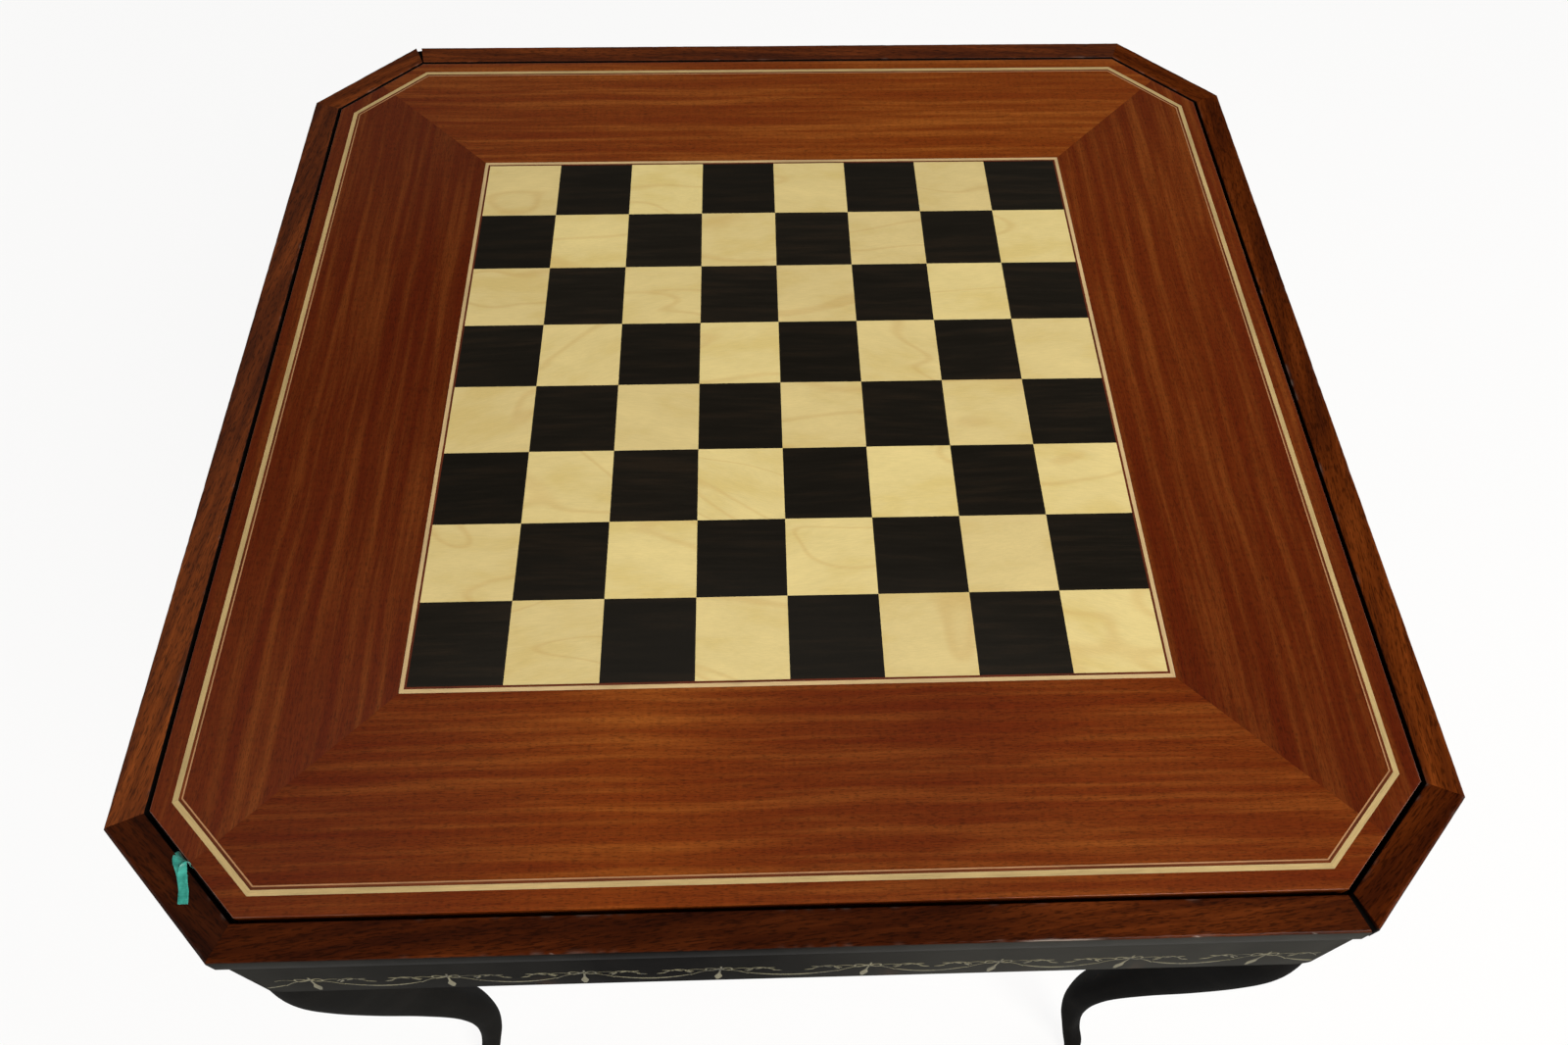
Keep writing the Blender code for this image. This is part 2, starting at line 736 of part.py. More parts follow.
def post_back():
    """Distance from the centre to the post's inner face."""
    return APRON_INNER[1] - SEAT_GAP - POST_DEPTH


def bracket_face():
    """Distance from the centre to the middle of the bracket's plate."""
    return post_back() - BRACKET_TO_POST - BRACKET_THICKNESS / 2


def bracket_bend():
    """Where the bracket's plate turns along a long apron, for a corner on +X."""
    side = APRON_INNER[0] - SEAT_GAP - BRACKET_THICKNESS / 2
    return Vector((bracket_face(), side * ROOT_TWO - bracket_face()))


def bracket_tip():
    """The end of the bracket's wing, for a corner on +X."""
    return bracket_bend() + Vector((-1.0, 1.0)).normalized() * BRACKET_WING


def cleat_half_length():
    """A floor cleat ends just short of the bracket wings at both ends of its side."""
    tip = bracket_tip()
    return (tip.x - tip.y) / ROOT_TWO - CLEAT_END_CLEARANCE


def foot_middle():
    """Distance from the centre to the glide's axis."""
    outer, inner, _ = leg_section(0.0)
    return (outer + inner) / 2


def make_legs():
    """Four cabriole legs, each with a post that stands inside its corner."""
    post = box_mesh((post_back(), -POST_WIDTH / 2, LEG_TOP - POST_ROOT),
                    (APRON_INNER[1] - SEAT_GAP, POST_WIDTH / 2, POST_TOP))
    upside_down = Matrix.Rotation(math.pi, 4, "X")
    bolt_drill = drill(BOLT_RADIUS + HOLE_CLEARANCE, BOLT_BITE + HOLE_CLEARANCE, ROUND_SIDES)
    bolt_drill.transform(along_x(post_back(), BRACKET_LEVEL) @ upside_down)
    pin_drill = drill(GLIDE_PIN_RADIUS + HOLE_CLEARANCE, GLIDE_PIN_LENGTH + HOLE_CLEARANCE,
                      SMALL_SIDES)
    pin_drill.transform(Matrix.Translation((foot_middle(), 0.0, FOOT_LIFT)) @ upside_down)
    joined = boolean(leg_loft(), [post], "UNION")
    leg = boolean(joined, [bolt_drill, pin_drill], "DIFFERENCE")
    smooth_shading(leg)
    at_corners("leg", leg, "ebonised_wood")


def make_leg_fixings():
    """Steel corner brackets, with the bolts and flanged nuts that hold the legs to them."""
    bend, tip = bracket_bend(), bracket_tip()
    path = [tip, bend, Vector((bend.x, -bend.y)), Vector((tip.x, -tip.y))]
    plate = extruded([strip_outline(path, BRACKET_THICKNESS)], BRACKET_BOTTOM, BRACKET_TOP)
    bore = BOLT_RADIUS + HOLE_CLEARANCE
    hole = drill(bore, BRACKET_THICKNESS + CUT_OVERRUN, ROUND_SIDES)
    hole.transform(along_x(bracket_face(), BRACKET_LEVEL))
    at_corners("bracket", boolean(plate, [hole], "DIFFERENCE"), "zinc_steel")

    nut_face = bracket_face() - BRACKET_THICKNESS / 2 - SEAT_GAP
    across_corners = NUT_ACROSS_FLATS / 2 / math.cos(math.pi / HEXAGON_SIDES)
    flange = extruded([circle(FLANGE_RADIUS, ROUND_SIDES), circle(bore, ROUND_SIDES)],
                      -FLANGE_THICKNESS, 0.0)
    hexagon = extruded([circle(across_corners, HEXAGON_SIDES), circle(bore, ROUND_SIDES)],
                       -NUT_HEIGHT, -FLANGE_THICKNESS / 2)
    nut = boolean(flange, [hexagon], "UNION")
    nut.transform(along_x(nut_face, BRACKET_LEVEL))
    at_corners("leg_nut", nut, "zinc_steel")

    bolt_start = nut_face - NUT_HEIGHT - BOLT_TAIL
    length = post_back() + BOLT_BITE - bolt_start
    chamfer = BOLT_RADIUS / 4
    bolt = turned(((0.0, length), (BOLT_RADIUS - chamfer, length),
                   (BOLT_RADIUS, length - chamfer), (BOLT_RADIUS, chamfer),
                   (BOLT_RADIUS - chamfer, 0.0), (0.0, 0.0)), ROUND_SIDES)
    smooth_shading(bolt)
    bolt.transform(along_x(bolt_start, BRACKET_LEVEL))
    at_corners("leg_bolt", bolt, "zinc_steel")


def make_glides():
    """Round glides on the floor, each with a pin up into its foot."""
    pad = FOOT_LIFT - SEAT_GAP
    edge = pad / 4
    profile = (
        (0.0, pad + GLIDE_PIN_LENGTH),
        (GLIDE_PIN_RADIUS, pad + GLIDE_PIN_LENGTH),
        (GLIDE_PIN_RADIUS, pad),
        (GLIDE_RADIUS, pad),
        (GLIDE_RADIUS, edge),
        (GLIDE_RADIUS - edge, 0.0),
        (0.0, 0.0),
    )
    glide = turned(profile, ROUND_SIDES)
    smooth_shading(glide)
    glide.transform(Matrix.Translation((foot_middle(), 0.0, 0.0)))
    at_corners("foot_glide", glide, "nylon")


clear_scene()
TABLE = new_collection("games_table")
WORKSHOP = new_collection("cutters")
make_frame()
make_aprons()
make_well()
make_panel()
make_legs()
make_leg_fixings()
make_glides()
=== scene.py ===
"""Looks of an octagonal games table, laid out as an add-on and run as a script.

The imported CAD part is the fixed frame. Each operator makes one piece or a group of like
pieces, finer than the CAD solids that they stand for, and gives them their finish.
Metres, +Z up, origin on the floor under the middle of the table, front towards -Y.
"""

import math

import bpy
import numpy as np
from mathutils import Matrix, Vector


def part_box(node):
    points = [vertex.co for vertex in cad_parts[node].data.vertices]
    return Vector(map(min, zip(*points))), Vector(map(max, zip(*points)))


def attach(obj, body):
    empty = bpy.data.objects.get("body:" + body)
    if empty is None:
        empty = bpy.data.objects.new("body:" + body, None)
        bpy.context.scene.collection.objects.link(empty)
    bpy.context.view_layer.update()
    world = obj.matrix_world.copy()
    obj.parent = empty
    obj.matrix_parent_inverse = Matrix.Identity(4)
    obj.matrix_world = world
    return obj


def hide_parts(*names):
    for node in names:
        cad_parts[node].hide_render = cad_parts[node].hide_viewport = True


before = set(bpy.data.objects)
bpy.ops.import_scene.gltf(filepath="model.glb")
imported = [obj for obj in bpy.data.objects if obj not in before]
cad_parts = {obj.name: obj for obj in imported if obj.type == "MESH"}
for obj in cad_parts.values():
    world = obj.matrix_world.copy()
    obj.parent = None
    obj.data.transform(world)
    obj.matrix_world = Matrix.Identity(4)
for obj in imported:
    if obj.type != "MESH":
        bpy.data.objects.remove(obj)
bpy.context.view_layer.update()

bl_info = {
    "name": "Games table",
    "version": (1, 0, 0),
    "blender": (4, 5, 0),
    "location": "View3D > Sidebar > Games table",
    "description": "Builds the veneered top, the ebonised aprons and legs, and the games well",
    "category": "Object",
}

MM = 0.001
ROOT_TWO = math.sqrt(2.0)
# Parts that are glued or screwed to one another stand this far apart
SEAT_GAP = 0.3 * MM

# Sides of the octagon, anticlockwise; each lies 45 degrees on from the one before
SIDES = ("right", "back_right", "back", "back_left", "left", "front_left", "front", "front_right")
LONG_SIDES = ("right", "back", "left", "front")
CORNERS = ("front_left", "front_right", "back_right", "back_left")


# Measures taken from the frame


def reach(node, side):
    """Nearest and farthest distance of a CAD node's points from the middle, towards a side."""
    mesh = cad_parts[node].data
    points = np.empty(len(mesh.vertices) * 3, np.float32)
    mesh.vertices.foreach_get("co", points)
    turn = SIDES.index(side) * math.pi / 4
    away = points.reshape(-1, 3)[:, :2] @ np.array((math.cos(turn), math.sin(turn)))
    return float(away.min()), float(away.max())


def octagon(kind, end):
    """Distances of a ring's long sides and cut corners, at its near (0) or far (1) face."""
    return reach(kind + "_right", "right")[end], reach(kind + "_back_right", "back_right")[end]


def inset(outline, distance):
    """Move every side of an octagon in by the same distance."""
    return outline[0] - distance, outline[1] - distance


def levels(node):
    """Lowest and highest level of a CAD node."""
    low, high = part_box(node)
    return low.z, high.z


TOP = levels("squares_light")[1]
FRAME_OUTER = octagon("top_rail", 1)
FRAME_INNER = octagon("top_rail", 0)
# The frame's inner faces are planed back by this much, which widens the gap as it shows
PLANED = 0.5 * MM
FRAME_WIDTH = FRAME_OUTER[0] - FRAME_INNER[0] - PLANED
APRON_OUTER = octagon("apron", 1)
APRON_INNER = octagon("apron", 0)
WALL_OUTER = inset(APRON_INNER, SEAT_GAP)
WALL_THICKNESS = 13 * MM
PANEL_OUTER = (reach("panel_lipping", "right")[1], reach("panel_lipping", "back_right")[1])
CORE_BOTTOM, CORE_TOP = levels("panel_core")
LIPPING_THICKNESS = 3 * MM
BOARD_HALF = 224 * MM
SQUARES_A_SIDE = 8
# From the panel's edge to its outermost string, and to the cloth glued under it
BAND_MARGIN = 11 * MM
BAIZE_BORDER = 24 * MM
LEG_TOP = levels("apron_front")[0] - SEAT_GAP
POST_TOP = levels("well_floor")[0] - SEAT_GAP
FOOT_LIFT = levels("leg_front_left")[0]
# The outer face of a leg's top, set back from its apron, and a post's two faces
LEG_FACE = APRON_OUTER[1] - 1.5 * MM
POST_FACE = APRON_INNER[1] - SEAT_GAP
POST_BACK = POST_FACE - 34 * MM
BRACKET_LEVEL = sum(levels("bracket_front_left")) / 2
BRACKET_TO_POST = 8 * MM
BRACKET_THICKNESS = 2.5 * MM
# Joints in flush veneer are cut this tight
JOINT = 0.04 * MM
# Each line round the chessboard is laid this much wider than its nominal width
LINE_SPARE = 0.15 * MM


# Solids worked out as whole arrays. A solid is a dict of points, faces and five values at
# each point: grain (metres along, across and into the wood), tone (-1 darker to 1 lighter),
# bare (1 where the finish is worn through), painted sheen (1 where grey is painted on as a
# reflection of pale surroundings in the polish) and black (1 where it is ebonised, and where
# black paint stands for the shade in the gap round the panel and in the open mitres).
POINT_VALUES = ("tone", "bare", "dull", "black")


def made_solid(points, faces, grain, values):
    """Fill in a solid, turned so that its faces point outwards.

    The signed volume is the sum over the faces of the volume of the pyramid from the
    solid's middle; where it is negative every face is turned round.
    """
    volume = 0.0
    middle = points.mean(0)
    for block in faces:
        corners = points[block] - middle
        for second in range(1, block.shape[1] - 1):
            volume += np.einsum("ij,ij->", corners[:, 0],
                                np.cross(corners[:, second], corners[:, second + 1]))
    if volume < 0:
        faces = [block[:, ::-1] for block in faces]
    count = len(points)
    filled = {key: np.broadcast_to(values.get(key, 0.0), count).copy() for key in POINT_VALUES}
    return {"points": points, "faces": faces, "grain": grain, **filled}


def grid_faces(index, closed=False):
    """The quads between neighbours of a grid of point numbers; closed joins its columns round."""
    if closed:
        index = np.concatenate([index, index[:, :1]], axis=1)
    return np.stack([index[:-1, :-1], index[:-1, 1:], index[1:, 1:], index[1:, :-1]],
                    axis=-1).reshape(-1, 4)


def tube(rings, grain=None, **values):
    """A solid from a grid of rings (ring, point, xyz), with a flat face over each end ring."""
    count, around = rings.shape[:2]
    points = rings.reshape(-1, 3)
    index = np.arange(count * around).reshape(count, around)
    faces = [grid_faces(index, closed=True), index[:1, ::-1], index[-1:]]
    grain = points if grain is None else grain.reshape(-1, 3)
    values = {key: np.broadcast_to(value, (count, around)).reshape(-1)
              for key, value in values.items()}
    return made_solid(points, faces, grain, values)


def slab(sheet, bottom, grain=None, **values):
    """A solid under a grid of points (row, column, xyz): the grid, the same grid at the
    level bottom, and a wall round the rim."""
    rows, columns = sheet.shape[:2]
    over = sheet.reshape(-1, 3)
    under = over.copy()
    under[:, 2] = bottom
    index = np.arange(rows * columns).reshape(rows, columns)
    rim = np.concatenate([index[0], index[1:, -1], index[-1, -2::-1], index[-2:0:-1, 0]])
    after = np.roll(rim, -1)
    count = rows * columns
    wall = np.stack([rim, rim + count, after + count, after], axis=-1)
    faces = [grid_faces(index), grid_faces(index)[:, ::-1] + count, wall]
    grain = over if grain is None else grain.reshape(-1, 3)
    values = {key: np.tile(np.broadcast_to(value, (rows, columns)).reshape(-1), 2)
              for key, value in values.items()}
    return made_solid(np.concatenate([over, under]), faces,
                      np.concatenate([grain, grain - np.array((0, 0, MM))]), values)


def turned_to(solid, side):
    """A solid made for the side on +X, turned to another side; its grain turns with it."""
    turn = SIDES.index(side) * math.pi / 4
    cosine, sine = math.cos(turn), math.sin(turn)
    spin = np.array(((cosine, sine, 0.0), (-sine, cosine, 0.0), (0.0, 0.0, 1.0)))
    return {**solid, "points": solid["points"] @ spin}


def add_piece(name, solids, finish, body, replaces=(), smooth=None):
    """Join solids into one mesh object at the origin, and tie it to the frame."""
    starts = np.cumsum([0] + [len(solid["points"]) for solid in solids])
    points = np.concatenate([solid["points"] for solid in solids])
    blocks = [block + start for solid, start in zip(solids, starts) for block in solid["faces"]]
    sizes = np.concatenate([np.full(len(block), block.shape[1]) for block in blocks])
    loops = np.concatenate([block.reshape(-1) for block in blocks])
    mesh = bpy.data.meshes.new(name)
    mesh.vertices.add(len(points))
    mesh.vertices.foreach_set("co", points.astype(np.float32).reshape(-1))
    mesh.loops.add(len(loops))
    mesh.loops.foreach_set("vertex_index", loops.astype(np.int32))
    mesh.polygons.add(len(sizes))
    mesh.polygons.foreach_set("loop_start", (np.cumsum(sizes) - sizes).astype(np.int32))
    mesh.update(calc_edges=True)
    for key in ("grain", *POINT_VALUES):
        kind, field = ("FLOAT_VECTOR", "vector") if key == "grain" else ("FLOAT", "value")
        values = np.concatenate([solid[key] for solid in solids]).astype(np.float32)
        mesh.attributes.new(key, kind, "POINT").data.foreach_set(field, values.reshape(-1))
    if smooth is None:
        mesh.shade_flat()
    else:
        mesh.shade_smooth()
        mesh.set_sharp_from_angle(angle=math.radians(smooth))
    if mesh.validate():
        raise RuntimeError(f"{name} has faces that Blender had to mend")
    mesh.materials.append(finish)
    made = bpy.data.objects.new(name, mesh)
    bpy.context.scene.collection.objects.link(made)
    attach(made, body)
    if replaces:
        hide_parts(*replaces)
    return made


def random_line(seed, count, knots, size):
    """A smooth random curve: random heights at even knots, joined by half cosine waves."""
    heights = np.random.default_rng(seed).normal(0.0, size, knots + 1)
    place = np.linspace(0.0, knots, count)
    before = np.minimum(place.astype(int), knots - 1)
    part = (1 - np.cos(np.pi * (place - before))) / 2
    return heights[before] * (1 - part) + heights[before + 1] * part


def eased(width, low, high, radii, steps=4):
    """The outline of a board's cross-section, as (distance in from its outer face, level).

    A rectangle whose four corners are quarter circles, in the order outer top, inner top,
    inner bottom, outer bottom; radii are given in that order.
    """
    turns = np.linspace(0.0, np.pi / 2, steps + 1)
    corners = ((0.0, high, 1, -1, np.pi), (width, high, -1, -1, np.pi / 2),
               (width, low, -1, 1, 0.0), (0.0, low, 1, 1, -np.pi / 2))
    outline = []
    for (across, level, inward, up, start), radius in zip(corners, radii):
        middle = np.array((across + inward * radius, level + up * radius))
        angle = start - turns
        outline.append(middle + radius * np.stack([np.cos(angle), np.sin(angle)], axis=-1))
    return np.concatenate(outline)


def board(side, outline, profile, stations, start=JOINT / 2, end=JOINT / 2):
    """A profile carried straight along one side of an octagon, between its two mitres.

    At a distance in from the outer face of the ring the side is shorter by tan(22.5
    degrees) of it at each end; start and end stand it back from its mitres, each as one
    number or as the numbers at the outer and inner face.
    """
    number = SIDES.index(side) % 2
    near, other = outline[number], outline[1 - number]
    inward = profile[:, 0]
    half = (other - inward) * ROOT_TWO - (near - inward)
    share = np.clip(inward / max(inward.max(), 1e-9), 0, 1)
    first, last = [np.interp(share, (0, 1), np.broadcast_to(value, 2)) for value in (start, end)]
    along = (-half + first) + stations[:, None] * (2 * half - first - last)
    rings = np.empty((len(stations), len(profile), 3))
    rings[..., 0] = near - inward
    rings[..., 1] = along
    rings[..., 2] = profile[:, 1]
    return rings


def wood(rings, seed, slant=0.0):
    """Grain coordinates of a board on +X: along it, across it and into it, on a random stretch
    of the log, with the grain turned out of line by slant degrees."""
    offset = np.random.default_rng(seed).uniform(-20.0, 20.0, 3)
    turn = math.radians(slant)
    along, across = rings[..., 1], rings[..., 0]
    return np.stack([along * math.cos(turn) + across * math.sin(turn),
                     across * math.cos(turn) - along * math.sin(turn),
                     rings[..., 2]], axis=-1) + offset


# Chips along the front rail's outer top arris, pale as worn wood with a painted highlight
# on them: place along it from its middle and half length, in metres, and how much of the
# finish is gone
FRONT_CHIPS_AND_GLINTS = ((0.137, 0.0185, 1.0), (0.2085, 0.0016, 1.0), (0.271, 0.0011, 0.5),
               (-0.128, 0.0009, 0.35))
# How far each bow of the painted border stands from its even place
BOW_SHIFTS = np.array((-8.0, -7.5, -7.0, -6.0, 2.5, 1.0, 0.0, 2.5)) * MM
# Tone of each rail at even places along it, from left to right as seen from outside
RAIL_TONES = {
    "right": (0.3, 0.25, -0.08, -0.1, -0.15, -0.3), "back_right": (-0.1,),
    "back": (0.3, -0.2, -0.1, 0.1, 0.1, 0.3), "back_left": (0.15,),
    "left": (-0.2, -0.1, 0.1, -0.1, -0.1, 0.5, 1.0, 0.6),
    "front_left": (-0.8, -0.75, -0.7, -0.86, -0.93, -0.93), "front": (-0.6,),
    "front_right": (-0.4,)}
# Places along the front rail, and the tone added there: its middle is darker and its right
# third redder and brighter
FRONT_RAIL_TONES = ((-0.30, -0.256, -0.2, -0.12, -0.085, 0.095, 0.125, 0.165, 0.20, 0.24, 0.3),
                    (0.03, 0.12, 0.04, 0.0, -0.18, -0.2, 0.1, 0.42, 0.38, 0.3, 0.12))


def sheen_painted_along(side, along, seed):
    """How much grey is painted along one side of the table as a reflection of the pale floor in
    the black polish: most at the right, a little at the left, in faint upright clouds."""
    middle = {"front_left": 0.10, "front_right": 0.28}.get(side, 0.05)
    amount = np.full(len(along), middle)
    if side == "front":
        amount = np.interp(along, (-0.27, -0.10, 0.0, 0.09, 0.18), (0.12, 0.0, 0.03, 0.2, 0.24))
    return np.clip(amount + random_line(seed, len(along), 34, 0.02), 0, 1)[:, None]


# Finishes

# Grey painted over a polish as a reflection of the pale floor and surroundings
PAINTED_REFLECTION_GREY = "#5c5c57"


def to_linear(colour):
    """An sRGB hex colour as linear light, three channels."""
    channels = np.array([int(colour[start:start + 2], 16) for start in (1, 3, 5)]) / 255
    linear = np.where(channels <= 0.04045, channels / 12.92, ((channels + 0.055) / 1.055) ** 2.4)
    return tuple(float(channel) for channel in linear)


def lightened(colour, share):
    """A linear colour times a share of its light, one for all channels or one for each."""
    return tuple(float(part) for part in np.minimum(1.0, np.array(colour) * share))


def add_node(tree, kind, inputs=None, stops=None, **settings):
    """Add a node, set its settings, fill or link its inputs, and set the stops of a ramp."""
    node = tree.nodes.new(kind)
    for key, value in settings.items():
        setattr(node, key, value)
    for key, value in (inputs or {}).items():
        if isinstance(value, bpy.types.NodeSocket):
            tree.links.new(value, node.inputs[key])
        elif node.inputs[key].type == "RGBA" and len(value) == 3:
            node.inputs[key].default_value = (*value, 1.0)
        else:
            node.inputs[key].default_value = value
    for number, (place, value) in enumerate(stops or ()):
        ramp = node.color_ramp.elements
        stop = ramp[number] if number < 2 else ramp.new(place)
        stop.position = place
        stop.color = (*(value if hasattr(value, "__len__") else (value,) * 3), 1.0)
    return node


def start_material(name):
    """A new material with its Principled shader."""
    made = bpy.data.materials.new(name)
    made.use_nodes = True
    return made, made.node_tree, made.node_tree.nodes["Principled BSDF"]


def link_surface(tree, shader, colour, wear, roughness, height, depth, span=(0.0, 1.0)):
    """Link a finish's colour, its roughness as wear goes over span, and a relief that is
    depth millimetres deep where height goes from 0 to 1."""
    tree.links.new(colour, shader.inputs["Base Color"])
    rough = add_node(tree, "ShaderNodeMapRange", {
        "Value": wear, "From Min": span[0], "From Max": span[1], "To Min": roughness[0],
        "To Max": roughness[1]})
    tree.links.new(rough.outputs["Result"], shader.inputs["Roughness"])
    bump = add_node(tree, "ShaderNodeBump", {"Height": height, "Distance": depth * MM})
    tree.links.new(bump.outputs["Normal"], shader.inputs["Normal"])


def timber(name, dark, middle, light, raw, stripe, fibre, pore, pore_depth=0.35,
           roughness=(0.2, 0.3), tone_value=(0.85, 1.15), tone_hue=(0.5, 0.5), coat=0.0,
           specular=0.5, relief=0.02, figure=None, mottle=None, paint=None,
           pore_cover=(0.56, 0.68), streak=0.14):
    """A wood finish. stripe, fibre and pore are (length along the grain, width) in mm.

    Broad stripes pick a colour between dark, middle and light, fibres streak it by up to the
    share streak, and pores are short flecks, darker by pore_depth, where their noise passes
    pore_cover. figure is (spacing in mm, colour, strength) of fine wandering growth lines,
    and mottle is (length in mm, width in mm, strength) of a shimmer across the grain.
    tone_value and tone_hue say what a tone of -1 and 1 does. raw shows where a piece is
    bare, and paint where it is black. relief is the depth of the grain in mm.
    """
    made, tree, shader = start_material(name)
    grain = add_node(tree, "ShaderNodeAttribute", attribute_name="grain").outputs["Vector"]
    tone = add_node(tree, "ShaderNodeAttribute", attribute_name="tone").outputs["Fac"]
    bare = add_node(tree, "ShaderNodeAttribute", attribute_name="bare").outputs["Fac"]
    dull = add_node(tree, "ShaderNodeAttribute", attribute_name="dull").outputs["Fac"]
    # Slow drift of the grain, so that stripes and fibres wander as they do in a log
    wander = stripe[1] * 0.9 * MM
    drift = add_node(tree, "ShaderNodeTexNoise", {"Vector": grain, "Scale": 7.0, "Detail": 1.0})
    drifted = add_node(tree, "ShaderNodeVectorMath", {
        0: drift.outputs["Color"], 1: (0.0, wander, wander), 2: grain},
        operation="MULTIPLY_ADD").outputs["Vector"]
    noises = []
    for (length, width), detail in ((stripe, 3.0), (fibre, 4.0), (pore, 1.0)):
        scaled = add_node(tree, "ShaderNodeMapping", {
            "Vector": drifted, "Scale": (1000 / length, 1000 / width, 1000 / width)})
        noises.append(add_node(tree, "ShaderNodeTexNoise", {
            "Vector": scaled.outputs["Vector"], "Scale": 1.0, "Detail": detail,
            "Roughness": 0.6}).outputs["Fac"])
    striped = add_node(tree, "ShaderNodeValToRGB", {"Fac": noises[0]},
                       stops=((0.34, dark), (0.68, light), (0.5, middle)))
    streaked = add_node(tree, "ShaderNodeMapRange", {
        "Value": noises[1], "From Min": 0.3, "From Max": 0.7, "To Min": 1 - streak,
        "To Max": 1 + streak})
    flecks = add_node(tree, "ShaderNodeMapRange", {
        "Value": noises[2], "From Min": pore_cover[0], "From Max": pore_cover[1],
        "To Min": 1.0, "To Max": 1.0 - pore_depth}, interpolation_type="SMOOTHSTEP")
    light_value = add_node(tree, "ShaderNodeMath", {
        0: streaked.outputs["Result"], 1: flecks.outputs["Result"]}, operation="MULTIPLY")
    toned = add_node(tree, "ShaderNodeMapRange", {
        "Value": tone, "From Min": -1.0, "From Max": 1.0, "To Min": tone_value[0],
        "To Max": tone_value[1]})
    hue = add_node(tree, "ShaderNodeMapRange", {
        "Value": tone, "From Min": -1.0, "From Max": 1.0, "To Min": tone_hue[0],
        "To Max": tone_hue[1]})
    value = add_node(tree, "ShaderNodeMath", {
        0: light_value.outputs[0], 1: toned.outputs["Result"]}, operation="MULTIPLY")
    colour = striped.outputs["Color"]
    if mottle:
        length, width, strength = mottle
        turned = add_node(tree, "ShaderNodeMapping", {
            "Vector": grain, "Scale": (1000 / length, 1000 / width, 1000 / width)})
        shimmer = add_node(tree, "ShaderNodeTexNoise", {
            "Vector": turned.outputs["Vector"], "Scale": 1.0, "Detail": 3.0})
        lifted = add_node(tree, "ShaderNodeMapRange", {
            "Value": shimmer.outputs["Fac"], "From Min": 0.3, "From Max": 0.7,
            "To Min": 1 - strength, "To Max": 1 + strength})
        value = add_node(tree, "ShaderNodeMath", {
            0: value.outputs[0], 1: lifted.outputs["Result"]}, operation="MULTIPLY")
    if figure:
        # Growth lines are contour lines of a slow, bent noise drawn out along the grain
        spacing, line_colour, strength = figure
        bent = add_node(tree, "ShaderNodeMapping", {
            "Vector": grain, "Scale": (420 / spacing, 1000 / spacing, 1000 / spacing)})
        field = add_node(tree, "ShaderNodeTexNoise", {
            "Vector": bent.outputs["Vector"], "Scale": 0.22, "Detail": 1.0, "Distortion": 1.1})
        steps = add_node(tree, "ShaderNodeMath", {0: field.outputs["Fac"], 1: 9.0},
                         operation="MULTIPLY")
        phase = add_node(tree, "ShaderNodeMath", {0: steps.outputs[0], 1: 1.0},
                         operation="PINGPONG")
        line = add_node(tree, "ShaderNodeMapRange", {
            "Value": phase.outputs[0], "From Min": 0.0, "From Max": 0.18, "To Min": strength,
            "To Max": 0.0}, interpolation_type="SMOOTHSTEP")
        colour = add_node(tree, "ShaderNodeMix", {
            0: line.outputs["Result"], 6: colour, 7: line_colour}, data_type="RGBA").outputs[2]
    shaded = add_node(tree, "ShaderNodeHueSaturation", {
        "Hue": hue.outputs["Result"], "Value": value.outputs[0], "Color": colour})
    worn = add_node(tree, "ShaderNodeMix", {
        0: bare, 6: shaded.outputs["Color"], 7: raw}, data_type="RGBA")
    colour = worn.outputs[2]
    if paint:
        black = add_node(tree, "ShaderNodeAttribute", attribute_name="black").outputs["Fac"]
        kept = add_node(tree, "ShaderNodeMath", {0: black, 1: bare}, operation="SUBTRACT",
                        use_clamp=True)
        colour = add_node(tree, "ShaderNodeMix", {
            0: kept.outputs[0], 6: colour, 7: paint}, data_type="RGBA").outputs[2]
    # Grey mixed in as a painted reflection of pale surroundings in the polish
    reflected_grey_mix = add_node(tree, "ShaderNodeMix", {
        0: dull, 6: colour, 7: to_linear(PAINTED_REFLECTION_GREY)}, data_type="RGBA")
    tree.links.new(reflected_grey_mix.outputs[2], shader.inputs["Base Color"])
    # Worn and open-grained places scatter the shine more than the filled lacquer does
    rough = add_node(tree, "ShaderNodeMapRange", {
        "Value": noises[1], "From Min": 0.3, "From Max": 0.7, "To Min": roughness[0],
        "To Max": roughness[1]})
    rougher = add_node(tree, "ShaderNodeMath", {0: bare, 1: 0.35, 2: rough.outputs["Result"]},
                       operation="MULTIPLY_ADD")
    tree.links.new(rougher.outputs[0], shader.inputs["Roughness"])
    bump = add_node(tree, "ShaderNodeBump", {
        "Height": light_value.outputs[0], "Distance": relief * MM, "Strength": 1.0})
    tree.links.new(bump.outputs["Normal"], shader.inputs["Normal"])
    shader.inputs["Coat Weight"].default_value = coat
    shader.inputs["Coat Roughness"].default_value = 0.08
    shader.inputs["Specular IOR Level"].default_value = specular
    return made


def sapele(colours):
    """Quarter-cut sapele veneer, grain filled and lacquered: golden and red ribbon stripes
    about 7 mm wide, a faint shimmer across them, pores filled almost flush, an even soft
    gloss."""
    # The pale grey-brown of bare wood on the panel's worn arris is also a painted highlight
    return timber("sapele_veneer_quarter_cut_lacquered", colours.sapele_dark,
                  colours.sapele_middle, colours.sapele_light, to_linear("#a08c7c"),
                  stripe=(210, 7.0), fibre=(16, 0.8), pore=(3.4, 0.6), pore_depth=0.34,
                  pore_cover=(0.53, 0.66), roughness=(0.15, 0.21), tone_value=(0.55, 1.35),
                  tone_hue=(0.491, 0.503), specular=0.25, relief=0.012, mottle=(2.6, 13.0, 0.07))


